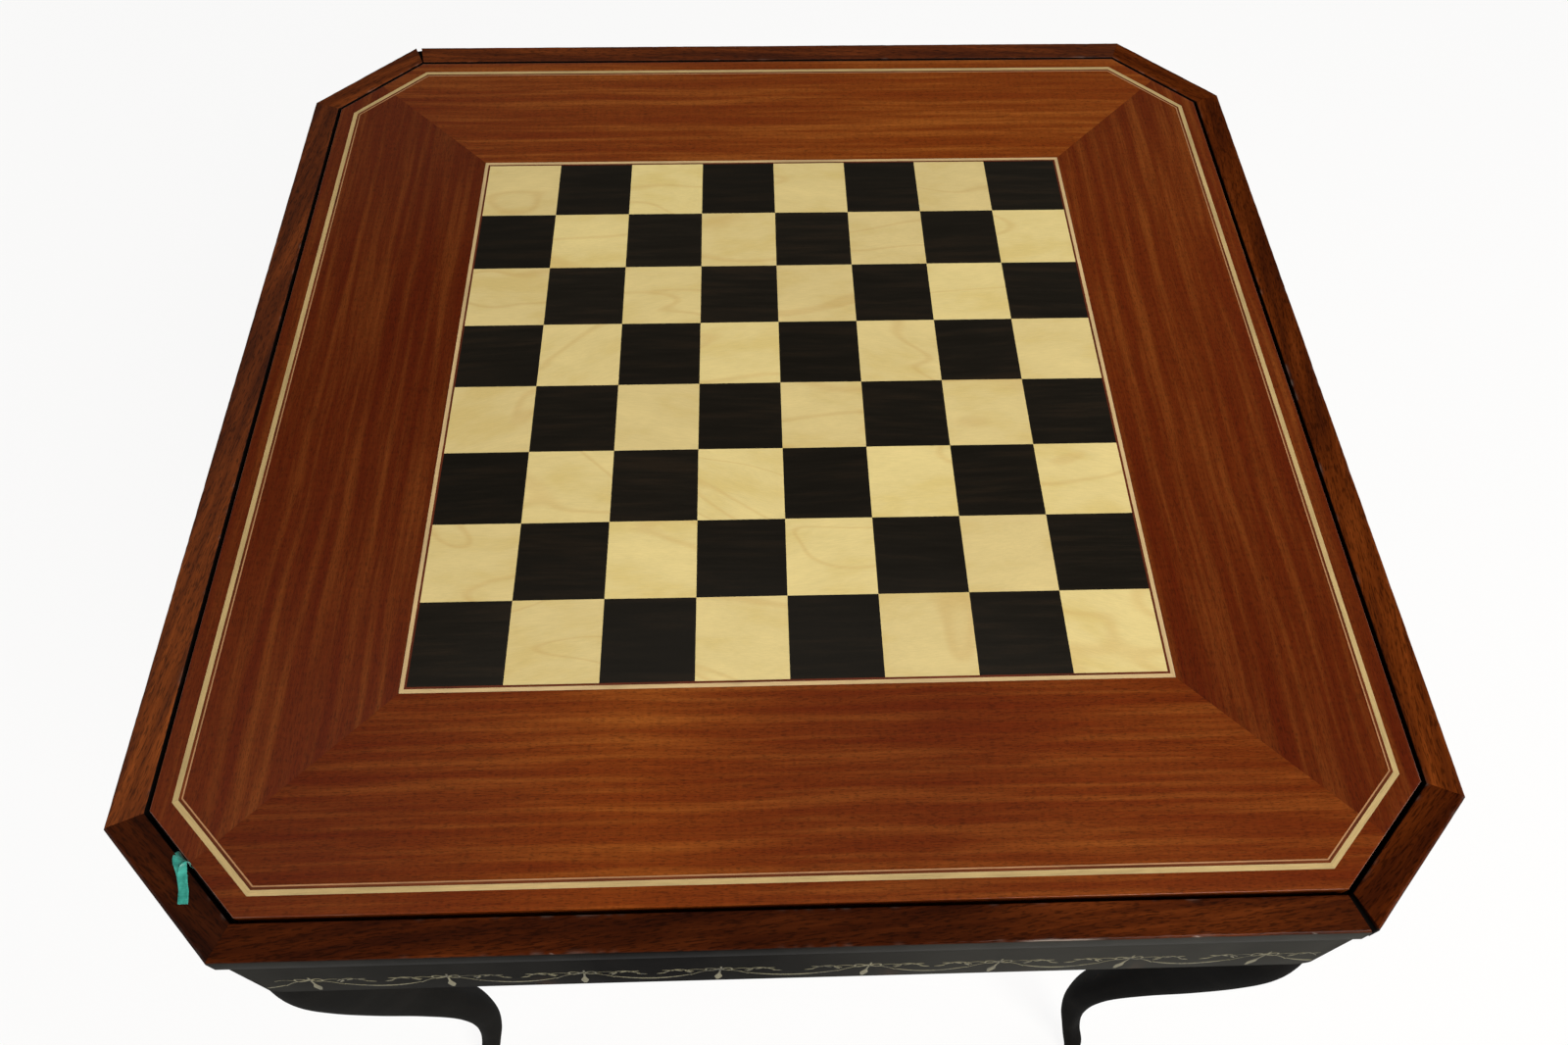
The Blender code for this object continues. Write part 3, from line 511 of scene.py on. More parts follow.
def mahogany(colours):
    """Solid mahogany, stained and lacquered by hand: open pores about 6 mm long darken it, its
    stain is cloudy, and its arrises are rubbed through to wood drawn near white, which is also
    a painted highlight on them."""
    return timber("mahogany_solid_stained_lacquered", colours.mahogany_dark,
                  colours.mahogany_middle, colours.mahogany_light, to_linear("#cfc8be"),
                  stripe=(130, 9.0), fibre=(12, 0.9), pore=(6.2, 0.85), pore_depth=0.52,
                  pore_cover=(0.5, 0.65), roughness=(0.2, 0.32), tone_value=(0.4, 3.2),
                  tone_hue=(0.494, 0.502), coat=0.06, specular=0.0, relief=0.05,
                  paint=colours.ebonised)


def stained_mahogany(name, colour):
    """Secondary mahogany inside the well, stained but not polished: matt, with open grain."""
    return timber(name, lightened(colour, 0.7), colour, lightened(colour, 1.6),
                  to_linear("#8f6f50"),
                  stripe=(150, 8.0), fibre=(14, 1.0), pore=(3.5, 0.7), pore_depth=0.4,
                  roughness=(0.5, 0.68), specular=0.3, relief=0.06)


def maple(colours):
    """Maple veneer under lacquer: creamy, almost without pores, with fine wandering growth
    lines a shade browner and a cloudy drift of colour."""
    cream = colours.maple
    return timber("maple_veneer_lacquered", lightened(cream, (0.95, 0.92, 0.82)), cream,
                  lightened(cream, 1.07), to_linear("#c8b080"),
                  stripe=(60, 26.0), fibre=(9, 0.5), pore=(1.2, 0.3), pore_depth=0.03,
                  roughness=(0.15, 0.2), tone_value=(0.93, 1.05), tone_hue=(0.497, 0.503),
                  relief=0.006, figure=(20.0, to_linear("#c39a55"), 0.25), streak=0.06)


def ebony(colours):
    """Ebonised veneer under lacquer: nearly black, with faint brown streaks along it."""
    black = colours.ebony
    return timber("ebony_veneer_lacquered", lightened(black, 0.7), black,
                  lightened(black, (1.9, 1.6, 1.4)), to_linear("#4a3a2c"),
                  stripe=(70, 6.0), fibre=(30, 0.8), pore=(2.5, 0.4),
                  pore_depth=0.3, roughness=(0.15, 0.2), tone_value=(0.75, 1.3), relief=0.008)


def ebonised(colours):
    """Beech painted black and lacquered: a soft deep gloss that shows faint upright clouds,
    rubbed to brown wood along its lower edges."""
    black = colours.ebonised
    return timber("beech_ebonised_lacquered", lightened(black, 0.75), black,
                  lightened(black, 1.5), to_linear("#4c3320"),
                  stripe=(55, 120.0), fibre=(60, 2.2), pore=(2.0, 0.4), pore_depth=0.12,
                  roughness=(0.22, 0.34), coat=0.025, specular=0.0, relief=0.015)


def brown_stringing(name, colour):
    """A line of dyed sycamore: even brown, faint fibres along it, lacquered with the top."""
    return timber(name, lightened(colour, 0.7), colour, lightened(colour, 1.4),
                  to_linear("#6a4a35"),
                  stripe=(40, 3.0), fibre=(8, 0.4), pore=(1.5, 0.3), pore_depth=0.15,
                  roughness=(0.16, 0.22), relief=0.006)


def pale_stringing(name, colour):
    """A line of boxwood: pale and close-grained, a little darker here and there, lacquered."""
    return timber(name, lightened(colour, 0.82), colour, lightened(colour, 1.1),
                  to_linear("#a08a66"),
                  stripe=(60, 6.0), fibre=(10, 0.5), pore=(1.5, 0.3), pore_depth=0.08,
                  roughness=(0.16, 0.22), relief=0.006)


def gilt_paint(colours):
    """Thin gold-coloured paint laid with a fine brush: matt, uneven, rubbed thin in places so that
    the black shows through."""
    made, tree, shader = start_material("gilt_paint_brushed")
    place = add_node(tree, "ShaderNodeTexCoord").outputs["Object"]
    # Brush breaks every 1.5 mm or so, and cover that thins over 20 mm
    broken = add_node(tree, "ShaderNodeTexNoise", {"Vector": place, "Scale": 650.0, "Detail": 2.0})
    cloudy = add_node(tree, "ShaderNodeTexNoise", {"Vector": place, "Scale": 48.0, "Detail": 2.0})
    both = add_node(tree, "ShaderNodeMath", {0: broken.outputs["Fac"], 1: cloudy.outputs["Fac"]},
                    operation="ADD")
    cover = add_node(tree, "ShaderNodeMath", {0: both.outputs[0], 1: 0.5}, operation="MULTIPLY")
    ramp = add_node(tree, "ShaderNodeValToRGB", {"Fac": cover.outputs[0]},
                    stops=((0.38, lightened(colours.gilt, 0.3)),
                           (0.62, lightened(colours.gilt, 1.15)), (0.5, colours.gilt)))
    link_surface(tree, shader, ramp.outputs["Color"], broken.outputs["Fac"], (0.4, 0.65),
                 broken.outputs["Fac"], 0.03)
    shader.inputs["Metallic"].default_value = 0.15
    shader.inputs["Specular IOR Level"].default_value = 0.2
    return made


def satin(colours):
    """Woven polyester satin ribbon: threads across it every 0.45 mm, drawn about twice as
    coarse as they are so that they show, a soft sheen, and painted shade that drifts between
    its lit and its shaded colour in crumples some 4 mm across."""
    made, tree, shader = start_material("satin_ribbon_woven")
    grain = add_node(tree, "ShaderNodeAttribute", attribute_name="grain").outputs["Vector"]
    # At a scale of 1 the bands of a wave texture repeat every 2 pi / 20 metres
    weft = add_node(tree, "ShaderNodeTexWave", {
        "Vector": grain, "Scale": 2 * math.pi / 20 / (0.9 * MM), "Distortion": 1.2,
        "Detail": 1.0}, wave_type="BANDS", bands_direction="X")
    # Painted shade: a drift between the lit and the shaded colour, in crumples about 4 mm across
    crumple_painted_shade = add_node(tree, "ShaderNodeTexNoise", {"Vector": grain, "Scale": 240.0,
                                                    "Detail": 2.0})
    base = add_node(tree, "ShaderNodeValToRGB", {"Fac": crumple_painted_shade.outputs["Fac"]},
                    stops=((0.3, colours.ribbon_painted_shade), (0.7, colours.ribbon)))
    threads = add_node(tree, "ShaderNodeMapRange", {"Value": weft.outputs["Fac"], "To Min": 0.9,
                                                    "To Max": 1.06})
    shade = add_node(tree, "ShaderNodeHueSaturation", {"Value": threads.outputs["Result"],
                                                       "Color": base.outputs["Color"]})
    link_surface(tree, shader, shade.outputs["Color"], weft.outputs["Fac"], (0.38, 0.5),
                 weft.outputs["Fac"], 0.03)
    shader.inputs["Sheen Weight"].default_value = 0.25
    shader.inputs["Sheen Roughness"].default_value = 0.4
    return made


def green_baize(colours):
    """Felted wool baize: matt green, a short nap in tufts of about 1 mm that lie all ways."""
    made, tree, shader = start_material("green_baize_felted")
    place = add_node(tree, "ShaderNodeTexCoord").outputs["Object"]
    tufts = add_node(tree, "ShaderNodeTexNoise", {"Vector": place, "Scale": 900.0, "Detail": 4.0,
                                                  "Roughness": 0.7})
    rubbed = add_node(tree, "ShaderNodeTexNoise", {"Vector": place, "Scale": 14.0, "Detail": 3.0})
    mixed = add_node(tree, "ShaderNodeMath", {0: rubbed.outputs["Fac"], 1: 0.35,
                                              2: tufts.outputs["Fac"]}, operation="MULTIPLY_ADD")
    ramp = add_node(tree, "ShaderNodeValToRGB", {"Fac": mixed.outputs[0]},
                    stops=((0.45, lightened(colours.baize, 0.6)),
                           (0.9, lightened(colours.baize, 1.5)), (0.68, colours.baize)))
    link_surface(tree, shader, ramp.outputs["Color"], tufts.outputs["Fac"], (0.85, 1.0),
                 tufts.outputs["Fac"], 0.3)
    shader.inputs["Sheen Weight"].default_value = 0.12
    shader.inputs["Sheen Roughness"].default_value = 0.5
    shader.inputs["Specular IOR Level"].default_value = 0.1
    return made


def pine(colours):
    """Planed pine, unfinished: yellow, with darker late wood lines about 3 mm apart."""
    return timber("pine_planed_unfinished", lightened(colours.pine, 0.55), colours.pine,
                  lightened(colours.pine, 1.12), colours.pine,
                  stripe=(260, 3.2), fibre=(20, 0.7), pore=(4.0, 0.5),
                  pore_depth=0.12, roughness=(0.6, 0.75), specular=0.3, relief=0.05)


def sheet_wood(name, colour, speck_scale, figure_scale):
    """A made-up board: a figure stretched by figure_scale and fine specks, both to the metre
    in the object's own coordinates."""
    made, tree, shader = start_material(name)
    place = add_node(tree, "ShaderNodeTexCoord").outputs["Object"]
    scaled = add_node(tree, "ShaderNodeMapping", {"Vector": place, "Scale": figure_scale})
    figure = add_node(tree, "ShaderNodeTexNoise", {"Vector": scaled.outputs["Vector"],
                                                   "Scale": 1.0, "Detail": 5.0,
                                                   "Distortion": 0.6})
    specks = add_node(tree, "ShaderNodeTexVoronoi", {"Vector": place, "Scale": speck_scale})
    mixed = add_node(tree, "ShaderNodeMath", {0: specks.outputs["Distance"], 1: 0.25,
                                              2: figure.outputs["Fac"]}, operation="MULTIPLY_ADD")
    ramp = add_node(tree, "ShaderNodeValToRGB", {"Fac": mixed.outputs[0]},
                    stops=((0.35, lightened(colour, 0.6)), (0.8, lightened(colour, 1.15)),
                           (0.6, colour)))
    link_surface(tree, shader, ramp.outputs["Color"], figure.outputs["Fac"], (0.6, 0.8),
                 mixed.outputs[0], 0.08)
    shader.inputs["Specular IOR Level"].default_value = 0.25
    return made


def plywood(colours):
    """Birch plywood, sanded: long soft figure along the board, and its plies as lines 1.2 mm
    apart on the cut edge."""
    return sheet_wood("plywood_birch_sanded", colours.plywood, 420.0, (9.0, 60.0, 830.0))


def panel_board(colours):
    """Blockboard of the panel's core, sanded: 25 mm strips that differ a little."""
    return sheet_wood("blockboard_sanded", colours.plywood, 300.0, (40.0, 6.0, 300.0))


def zinc_steel():
    """Pressed steel, bright zinc plated: a cool grey metal with cloudy spangles of some 3 mm
    and a satin shine."""
    made, tree, shader = start_material("steel_bright_zinc_plated")
    place = add_node(tree, "ShaderNodeTexCoord").outputs["Object"]
    spangle = add_node(tree, "ShaderNodeTexVoronoi", {"Vector": place, "Scale": 330.0})
    cloud = add_node(tree, "ShaderNodeTexNoise", {"Vector": place, "Scale": 90.0, "Detail": 4.0})
    tint = add_node(tree, "ShaderNodeValToRGB", {"Fac": cloud.outputs["Fac"]},
                    stops=((0.3, to_linear("#8f9296")), (0.7, to_linear("#c2c1ba"))))
    mixed = add_node(tree, "ShaderNodeMath", {0: spangle.outputs["Distance"], 1: 0.3,
                                              2: cloud.outputs["Fac"]}, operation="MULTIPLY_ADD")
    link_surface(tree, shader, tint.outputs["Color"], mixed.outputs[0], (0.28, 0.5),
                 mixed.outputs[0], 0.02, span=(0.3, 0.9))
    shader.inputs["Metallic"].default_value = 1.0
    return made


def nylon():
    """Moulded nylon glide: milky white, faintly mottled, scuffed matt where it slides."""
    made, tree, shader = start_material("nylon_moulded")
    place = add_node(tree, "ShaderNodeTexCoord").outputs["Object"]
    mottle = add_node(tree, "ShaderNodeTexNoise", {"Vector": place, "Scale": 260.0,
                                                   "Detail": 3.0})
    tint = add_node(tree, "ShaderNodeValToRGB", {"Fac": mottle.outputs["Fac"]},
                    stops=((0.3, to_linear("#cfc9bb")), (0.7, to_linear("#ebe7dc"))))
    level = add_node(tree, "ShaderNodeSeparateXYZ", {"Vector": place}).outputs["Z"]
    link_surface(tree, shader, tint.outputs["Color"], level, (0.75, 0.4),
                 mottle.outputs["Fac"], 0.02, span=(0.0, 1.2 * MM))
    return made


# Pieces of the top


def bell(profile, across, level, size):
    """How near each point of a cross-section lies to a place: exp(-(distance / size)^2)."""
    return np.exp(-((profile[:, 0] - across) / size) ** 2 - ((profile[:, 1] - level) / size) ** 2)


def mitre_tongue(side, low, high):
    """The tongue that shows in a sprung mitre, painted black and darker as painted shade down in
    the open mitre: an eased strip carried along the mitre's line, cut square to it just short
    of the corner. What lies less than half a millimetre inside an outer face is moved back
    square to that face."""
    width, before_line, clear, rows = 9.0 * MM, 6.5 * MM, 0.5 * MM, 9
    near, other = FRAME_OUTER
    corner = np.array((near, other * ROOT_TWO - near))
    inner = np.array((FRAME_INNER[0], FRAME_INNER[1] * ROOT_TWO - FRAME_INNER[0]))
    line = corner - inner
    across = np.array((-line[1], line[0])) / np.linalg.norm(line)
    section = eased(width, low, high, (0.3 * MM,) * 4, 3)
    middle = inner + np.linspace(0.04, 0.93, rows)[:, None] * line
    rings = np.empty((rows, len(section), 3))
    rings[..., :2] = middle[:, None, :] + (section[:, :1] - before_line) * across
    rings[..., 2] = section[:, 1]
    for out, distance in (((1.0, 0.0), near), ((1 / ROOT_TWO, 1 / ROOT_TWO), other)):
        past = np.maximum(rings[..., :2] @ np.array(out) - distance + clear, 0.0)
        rings[..., :2] -= past[..., None] * np.array(out)
    # Black and a darker tone: painted shade down in the open mitre
    return turned_to(tube(rings, wood(rings, 18), tone=-0.8, black=1.0), side)


def make_rails(sizes, finish):
    """Eight mitred rails of the top frame, worn along their arrises.

    The cross-section is a rectangle with quarter-round corners, carried straight between
    the mitres. Points on the arrises sink towards the rail by a smooth random amount, and
    each chip is a bell-shaped dent at one place along the outer top arris, pale as worn wood
    with a painted highlight on it.
    """
    low, high = levels("top_rail_front")
    radii = (sizes.rail_arris, 0.6 * MM, 0.4 * MM, 0.5 * MM)
    profile = eased(FRAME_WIDTH, low, high, radii)
    # Four more points on the upper face, so that the wear fades out close to its arrises
    places = np.array((1.6 * MM, 3.2 * MM, FRAME_WIDTH - 2.6 * MM, FRAME_WIDTH - 1.2 * MM))
    near_arrises = np.stack([places, np.full(len(places), high)], axis=-1)
    profile = np.insert(profile, len(profile) // 4, near_arrises, axis=0)
    # How far an end stands back from its mitre, at the outer and at the inner face
    sprung_end = {"front": (3.2 * MM, 2.3 * MM), "back": (4.8 * MM, 1.1 * MM)}
    sprung_start = {"front_right": (2.0 * MM, 1.2 * MM)}
    # How the grain runs out of line, in degrees, and how much grey is painted on each rail's
    # top as a reflection of pale surroundings in the lacquer
    slants = dict(zip(SIDES, (5.0, -4.0, 3.0, 6.0, 7.0, -5.0, -6.0, 4.0)))
    painted_reflection_share = {"left": 0.06, "back": 0.05, "back_left": 0.045, "front_left": 0.02, "front": 0.01}
    arris = bell(profile, 0.3 * MM, high - 0.3 * MM, 1.2 * MM)
    inner = bell(profile, FRAME_WIDTH, high, 0.8 * MM)
    chip_and_glint = bell(profile, 0.25 * MM, high - 0.25 * MM, 0.33 * MM)
    # A rail's outer face is ebonised like the apron below it, up to the arris, and its inner
    # face is painted black down in the gap as painted shade
    outer_face = (profile[:, 0] < 0.75 * sizes.rail_arris) & (profile[:, 1] < high - 0.7 * MM)
    painted_shade_face = (profile[:, 0] > FRAME_WIDTH - 0.1 * MM) & (profile[:, 1] < high - 0.2 * MM)
    for side in ("front", "back"):
        # A tongue painted black as shade in each sprung mitre
        tongue = mitre_tongue(side, low + 0.3 * MM, high - 2.8 * MM)
        add_piece("mitre_tongue_" + side, [tongue], finish, "table")
    for number, side in enumerate(SIDES):
        long_side = side in LONG_SIDES
        stations = np.linspace(0, 1, 361 if long_side else 61)
        rings = board(side, FRAME_OUTER, profile, stations,
                      start=sprung_start.get(side, JOINT / 2),
                      end=sprung_end.get(side, JOINT / 2))
        wear = np.abs(random_line(40 + number, len(stations), 90 if long_side else 16, 0.12 * MM))
        wear += np.abs(random_line(60 + number, len(stations), 14, 0.10 * MM))
        rings[..., 0] -= wear[:, None] * arris
        rings[..., 2] -= wear[:, None] * (0.6 * arris + 0.8 * inner)
        bare = np.clip(wear[:, None] / (0.6 * MM) - 0.35, 0, 1) * (0.2 * arris + 0.4 * inner)
        tones = RAIL_TONES[side]
        tone = np.interp(stations, np.linspace(0, 1, len(tones)), tones)
        tone = (tone + 0.03 * random_line(80 + number, len(stations), 5, 1.0))[:, None]
        if side == "front":
            along = rings[:, 0, 1]
            for place, length, strength in FRONT_CHIPS_AND_GLINTS:
                dent = np.exp(-(((along - place) / length) ** 4))
                bare += 1.6 * strength * dent[:, None] * chip_and_glint
                rings[..., 0] -= 0.2 * MM * dent[:, None] * chip_and_glint
            tone = tone + np.interp(rings[:, :1, 1], *FRONT_RAIL_TONES)
        # Grey painted on as a reflection: along the outer face by the side, over the top by the
        # rail
        dull = np.where(outer_face, sheen_painted_along(side, rings[:, 0, 1], 160 + number), painted_reflection_share.get(side, 0.0))
        solid = tube(rings, wood(rings, 20 + number, slants[side]), tone=tone,
                     bare=np.clip(bare, 0, 1), black=(outer_face | painted_shade_face).astype(float),
                     dull=np.where(painted_shade_face, 0.0, dull))
        add_piece("rail_" + side, [turned_to(solid, side)], finish, "table",
                  ["top_rail_" + side], smooth=50)


def quarter_grid(inner, outer, levels_down):
    """A grid across one quarter of the veneer border, between two outlines of the panel.

    inner and outer are octagons as (side, corner), or a square as (side, None). Along the
    quarter both outlines are walked from one mitre to the other; across it the points run
    straight between them. levels_down gives (share of the way across, distance in from the
    outer outline, drop) of each row.
    """
    def outline(shape, distance, count=81):
        """Points along one side of an outline set in by a distance, from mitre to mitre."""
        side, corner = shape[0] - distance, shape[1]
        if corner is None:
            return np.stack([np.full(count, side), np.linspace(-side, side, count)], axis=-1)
        corner -= distance
        bend, mitre = corner * ROOT_TWO - side, corner / ROOT_TWO
        stops = np.array((0, 10, count - 11, count - 1))
        walk = np.arange(count)
        return np.stack([np.interp(walk, stops, (mitre, side, side, mitre)),
                         np.interp(walk, stops, (-mitre, -bend, bend, mitre))], axis=-1)

    rows = []
    for share, distance, drop in levels_down:
        flat = outline(inner, 0.0) * (1 - share) + outline(outer, distance) * share
        rows.append(np.concatenate([flat, np.full((len(flat), 1), TOP - drop)], axis=-1))
    return np.stack(rows)


def make_border(sizes, finish):
    """Four mitred quarters of ribbon-striped veneer, inside and outside the octagonal strings.

    Each quarter is a flat sheet between the pale line and the strings and another between
    the strings and the panel's edge, where its arris falls away as a quarter round.
    """
    bottom = levels("veneer_front")[0]
    # Each line takes its width and a spare, and the veneer starts one spare past them
    board_edge = (BOARD_HALF + sizes.brown_line + sizes.pale_line + 3 * LINE_SPARE, None)
    band_outer = inset(PANEL_OUTER, BAND_MARGIN)
    strings = sizes.band_string + sizes.dark_string + sizes.fine_string
    string_inner = inset(band_outer, strings)
    arris = 0.35 * MM
    flat = [(share, 0.0, 0.0) for share in np.linspace(0, 1, 13)]
    rounded = [(1.0, arris * (1 - math.sin(turn)), arris * (1 - math.cos(turn)))
               for turn in np.linspace(0, math.pi / 2, 6)]
    spread = [(share, arris, 0.0) for share in np.linspace(0, 1, 5)[:-1]]
    # Tone at even places along each quarter, from left to right as seen from outside. It is
    # partly painted light: the side quarters are darker than the front and back as the figure
    # takes the light, the front has a lighter patch as a painted highlight, and the left quarter
    # is lighter towards its ends as a painted reflection.
    tones = {"front": (-0.8, -0.66, -0.2, 0.5, -0.28, -0.45, 0.0, -0.2, -0.2),
             "right": (-0.85, -0.85, -0.7, -0.5, -0.3, -0.35, -0.6),
             "back": (0.5, 0.65, 0.7, 0.6, 0.45, 0.1, -0.35),
             "left": (-0.6, -0.75, -0.85, -0.9, -0.8, -0.65, -0.55)}
    # How much grey is painted along each quarter as a reflection in the lacquer, and how far its
    # outer arris is rubbed through and shown pale as a painted highlight
    painted_reflection_share = {"left": (0.03, 0.02, 0.0, 0.0, 0.01, 0.035, 0.04), "front": (0.02, 0.0, 0.0, 0.0),
            "back": (0.0, 0.0, 0.02, 0.03)}
    worn_and_glinting_edge = {"front": (0.2, 0.1, 0.0, 0.0, 0.0, 0.0, 0.0, 0.0, 0.3), "left": (0.14, 0.12),
                 "right": (0.12, 0.10), "back": (0.04, 0.04)}
    for number, side in enumerate(LONG_SIDES):
        solids = []
        for inner, outer, rows in ((board_edge, string_inner, flat),
                                   (band_outer, PANEL_OUTER, spread + rounded)):
            sheet = quarter_grid(inner, outer, rows)
            sheet[:, 0, 1] += JOINT / 2
            sheet[:, -1, 1] -= JOINT / 2
            half = PANEL_OUTER[0]
            tone, dull, edge = [
                np.interp(sheet[..., 1], np.linspace(-half, half, len(places)), places)
                for places in (tones[side], painted_reflection_share.get(side, (0.0, 0.0)), worn_and_glinting_edge[side])]
            bare = np.zeros(sheet.shape[:2])
            if rows is not flat:
                # The rows of the rounded arris, less its first and last: worn, and pale as a
                # painted highlight
                worn = np.abs(random_line(100 + number, sheet.shape[1], 40, 0.8))
                bare[-5:-1] = edge[-5:-1] * (1 + 1.4 * np.clip(worn - 0.5, 0, 1))
            solids.append(turned_to(slab(sheet, bottom, wood(sheet, 5 + number), tone=tone,
                                         bare=bare, dull=dull), side))
        add_piece("border_" + side, solids, finish, "chess_panel",
                  ["veneer_" + side], smooth=30)


def ring_of_boards(outline, width, low, high, seed, radii=(0, 0, 0, 0), steps=1, stations=9):
    """A ring of mitred strips of one cross-section, one strip to a side."""
    profile = eased(width, low, high, radii, steps)
    made = []
    for number, side in enumerate(SIDES):
        rings = board(side, outline, profile, np.linspace(0, 1, stations))
        made.append(turned_to(tube(rings, wood(rings, seed + number)), side))
    return made


def square_line(half, width, low, high, seed):
    """Four mitred strips round a square: each strip is a flat bar whose ends are cut at 45
    degrees, so a point at a distance in from the outer face stops that much sooner."""
    profile = np.array(((0, high), (width, high), (width, low), (0, low)), float)
    out = half - profile[:, 0]
    share = np.linspace(-1, 1, 9)[:, None]
    rings = np.stack([np.broadcast_to(out, (9, 4)), share * (out - JOINT / 2),
                      np.broadcast_to(profile[:, 1], (9, 4))], axis=-1)
    return [turned_to(tube(rings, wood(rings, seed + number)), side)
            for number, side in enumerate(LONG_SIDES)]


def make_strings(sizes, colours):
    """The lines round the chessboard and the three octagonal strings, each in mitred lengths,
    a rectangle carried along every side."""
    line_low = levels("board_line_pale")[0]
    string_low = levels("string_band")[0]
    brown_width = sizes.brown_line + LINE_SPARE
    pale_width = sizes.pale_line + LINE_SPARE
    brown_out = BOARD_HALF + brown_width
    brown = brown_stringing("brown_stringing_dyed_sycamore", colours.brown_line)
    soft_brown = brown_stringing("brown_stringing_octagon", colours.brown_string)
    pale = pale_stringing("boxwood_stringing_pale", colours.pale_line)
    tan = pale_stringing("boxwood_stringing_tan", colours.fine_string)
    band = pale_stringing("boxwood_stringing_band", colours.band)
    lines = (("brown", brown_out, brown_width, brown, "brown_stringing"),
             ("pale", brown_out + pale_width, pale_width, pale, "pale_stringing"))
    for number, (name, half, width, finish, slot) in enumerate(lines):
        add_piece("line_" + name, square_line(half, width - JOINT, line_low, TOP, 200 + number),
                  finish, "chess_panel", ["board_line_" + name])
    outline = inset(PANEL_OUTER, BAND_MARGIN)
    strings = (("band", sizes.band_string, band, "pale_stringing"),
               ("dark", sizes.dark_string, soft_brown, "brown_stringing"),
               ("fine", sizes.fine_string, tan, "tan_stringing"))
    for number, (name, width, finish, slot) in enumerate(strings):
        solids = ring_of_boards(outline, width - JOINT, string_low, TOP, 220 + 10 * number)
        add_piece("octagon_" + name, solids, finish, "chess_panel", ["string_" + name])
        outline = inset(outline, width)


def make_squares(colours):
    """The board's 64 squares, cut flush to one another.

    The corners of the squares are a 9 by 9 lattice, each moved by a tenth of a millimetre
    at random as hand-cut veneer is, and a square is the sheet stretched evenly between its
    four corners. Each has its own piece of veneer: its own stretch of grain and its tone.
    """
    random = np.random.default_rng(11)
    lattice = np.linspace(-BOARD_HALF, BOARD_HALF, SQUARES_A_SIDE + 1)
    corners = np.stack(np.meshgrid(lattice, lattice, indexing="ij"), axis=-1)
    corners[1:-1, 1:-1] += random.uniform(-0.12, 0.12, (7, 7, 2)) * MM
    bottom = levels("squares_dark")[0]
    half_joint = JOINT / 2 / (lattice[1] - lattice[0])
    share = np.linspace(half_joint, 1 - half_joint, 5)
    across, away = share[:, None, None], share[None, :, None]
    squares = {"light": [], "dark": []}
    for column in range(SQUARES_A_SIDE):
        for row in range(SQUARES_A_SIDE):
            here = corners[column:column + 2, row:row + 2]
            flat = ((1 - across) * ((1 - away) * here[0, 0] + away * here[0, 1])
                    + across * ((1 - away) * here[1, 0] + away * here[1, 1]))
            sheet = np.concatenate([flat, np.full((*flat.shape[:2], 1), TOP)], axis=-1)
            kind = "dark" if (row + column) % 2 == 0 else "light"
            turn = math.radians(random.normal(0.0, 9.0 if kind == "light" else 2.0))
            offset = random.uniform(-20.0, 20.0, 3)
            grain = np.stack([sheet[..., 0] * math.cos(turn) + sheet[..., 1] * math.sin(turn),
                              sheet[..., 1] * math.cos(turn) - sheet[..., 0] * math.sin(turn),
                              sheet[..., 2]], axis=-1) + offset
            squares[kind].append(slab(sheet, bottom, grain, tone=random.uniform(-1.0, 1.0)))
    add_piece("squares_maple", squares["light"], maple(colours), "chess_panel",
              ["squares_light"])
    add_piece("squares_ebony", squares["dark"], ebony(colours), "chess_panel",
              ["squares_dark"])


def make_panel_edge(finish):
    """Solid lipping round the panel's core, a rectangle with its lower arrises taken off,
    in eight mitred lengths."""
    solids = ring_of_boards(PANEL_OUTER, LIPPING_THICKNESS, CORE_BOTTOM, CORE_TOP, 300,
                            radii=(0.1 * MM, 0.1 * MM, 0.1 * MM, 0.5 * MM), steps=3, stations=61)
    add_piece("panel_edge", solids, finish, "chess_panel", ["panel_lipping"],
              smooth=40)


def cloth_octagon(outline, low, high, steps=61):
    """A flat octagon of cloth: each row across it is a straight line whose half length is
    that of the octagon at that distance from the middle, and its nap is a hair uneven."""
    side, corner = outline
    away = np.linspace(-side, side, steps)
    half = np.minimum(side, corner * ROOT_TWO - np.abs(away))
    share = np.linspace(-1, 1, steps)
    nap = np.random.default_rng(7).normal(0.0, 0.04 * MM, (steps, steps))
    sheet = np.stack([share[None, :] * half[:, None],
                      np.broadcast_to(away[:, None], (steps, steps)), high - np.abs(nap)], axis=-1)
    return slab(sheet, low)


def make_cloths(colours):
    """The cloth glued under the panel and the lining laid on the well's floor."""
    wool = green_baize(colours)
    for name, node, outline, body, held, rests in (
            ("panel_cloth", "panel_baize", inset(PANEL_OUTER, BAIZE_BORDER), "chess_panel",
             "stretched", "panel_core"),
            ("well_cloth", "well_lining", inset(WALL_OUTER, WALL_THICKNESS + 0.3 * MM), "table",
             "laid", "well_floor")):
        low, high = levels(node)
        made = add_piece(name, [cloth_octagon(outline, low, high)], wool, body,
                         [node], smooth=40)


# Apron and its painted border


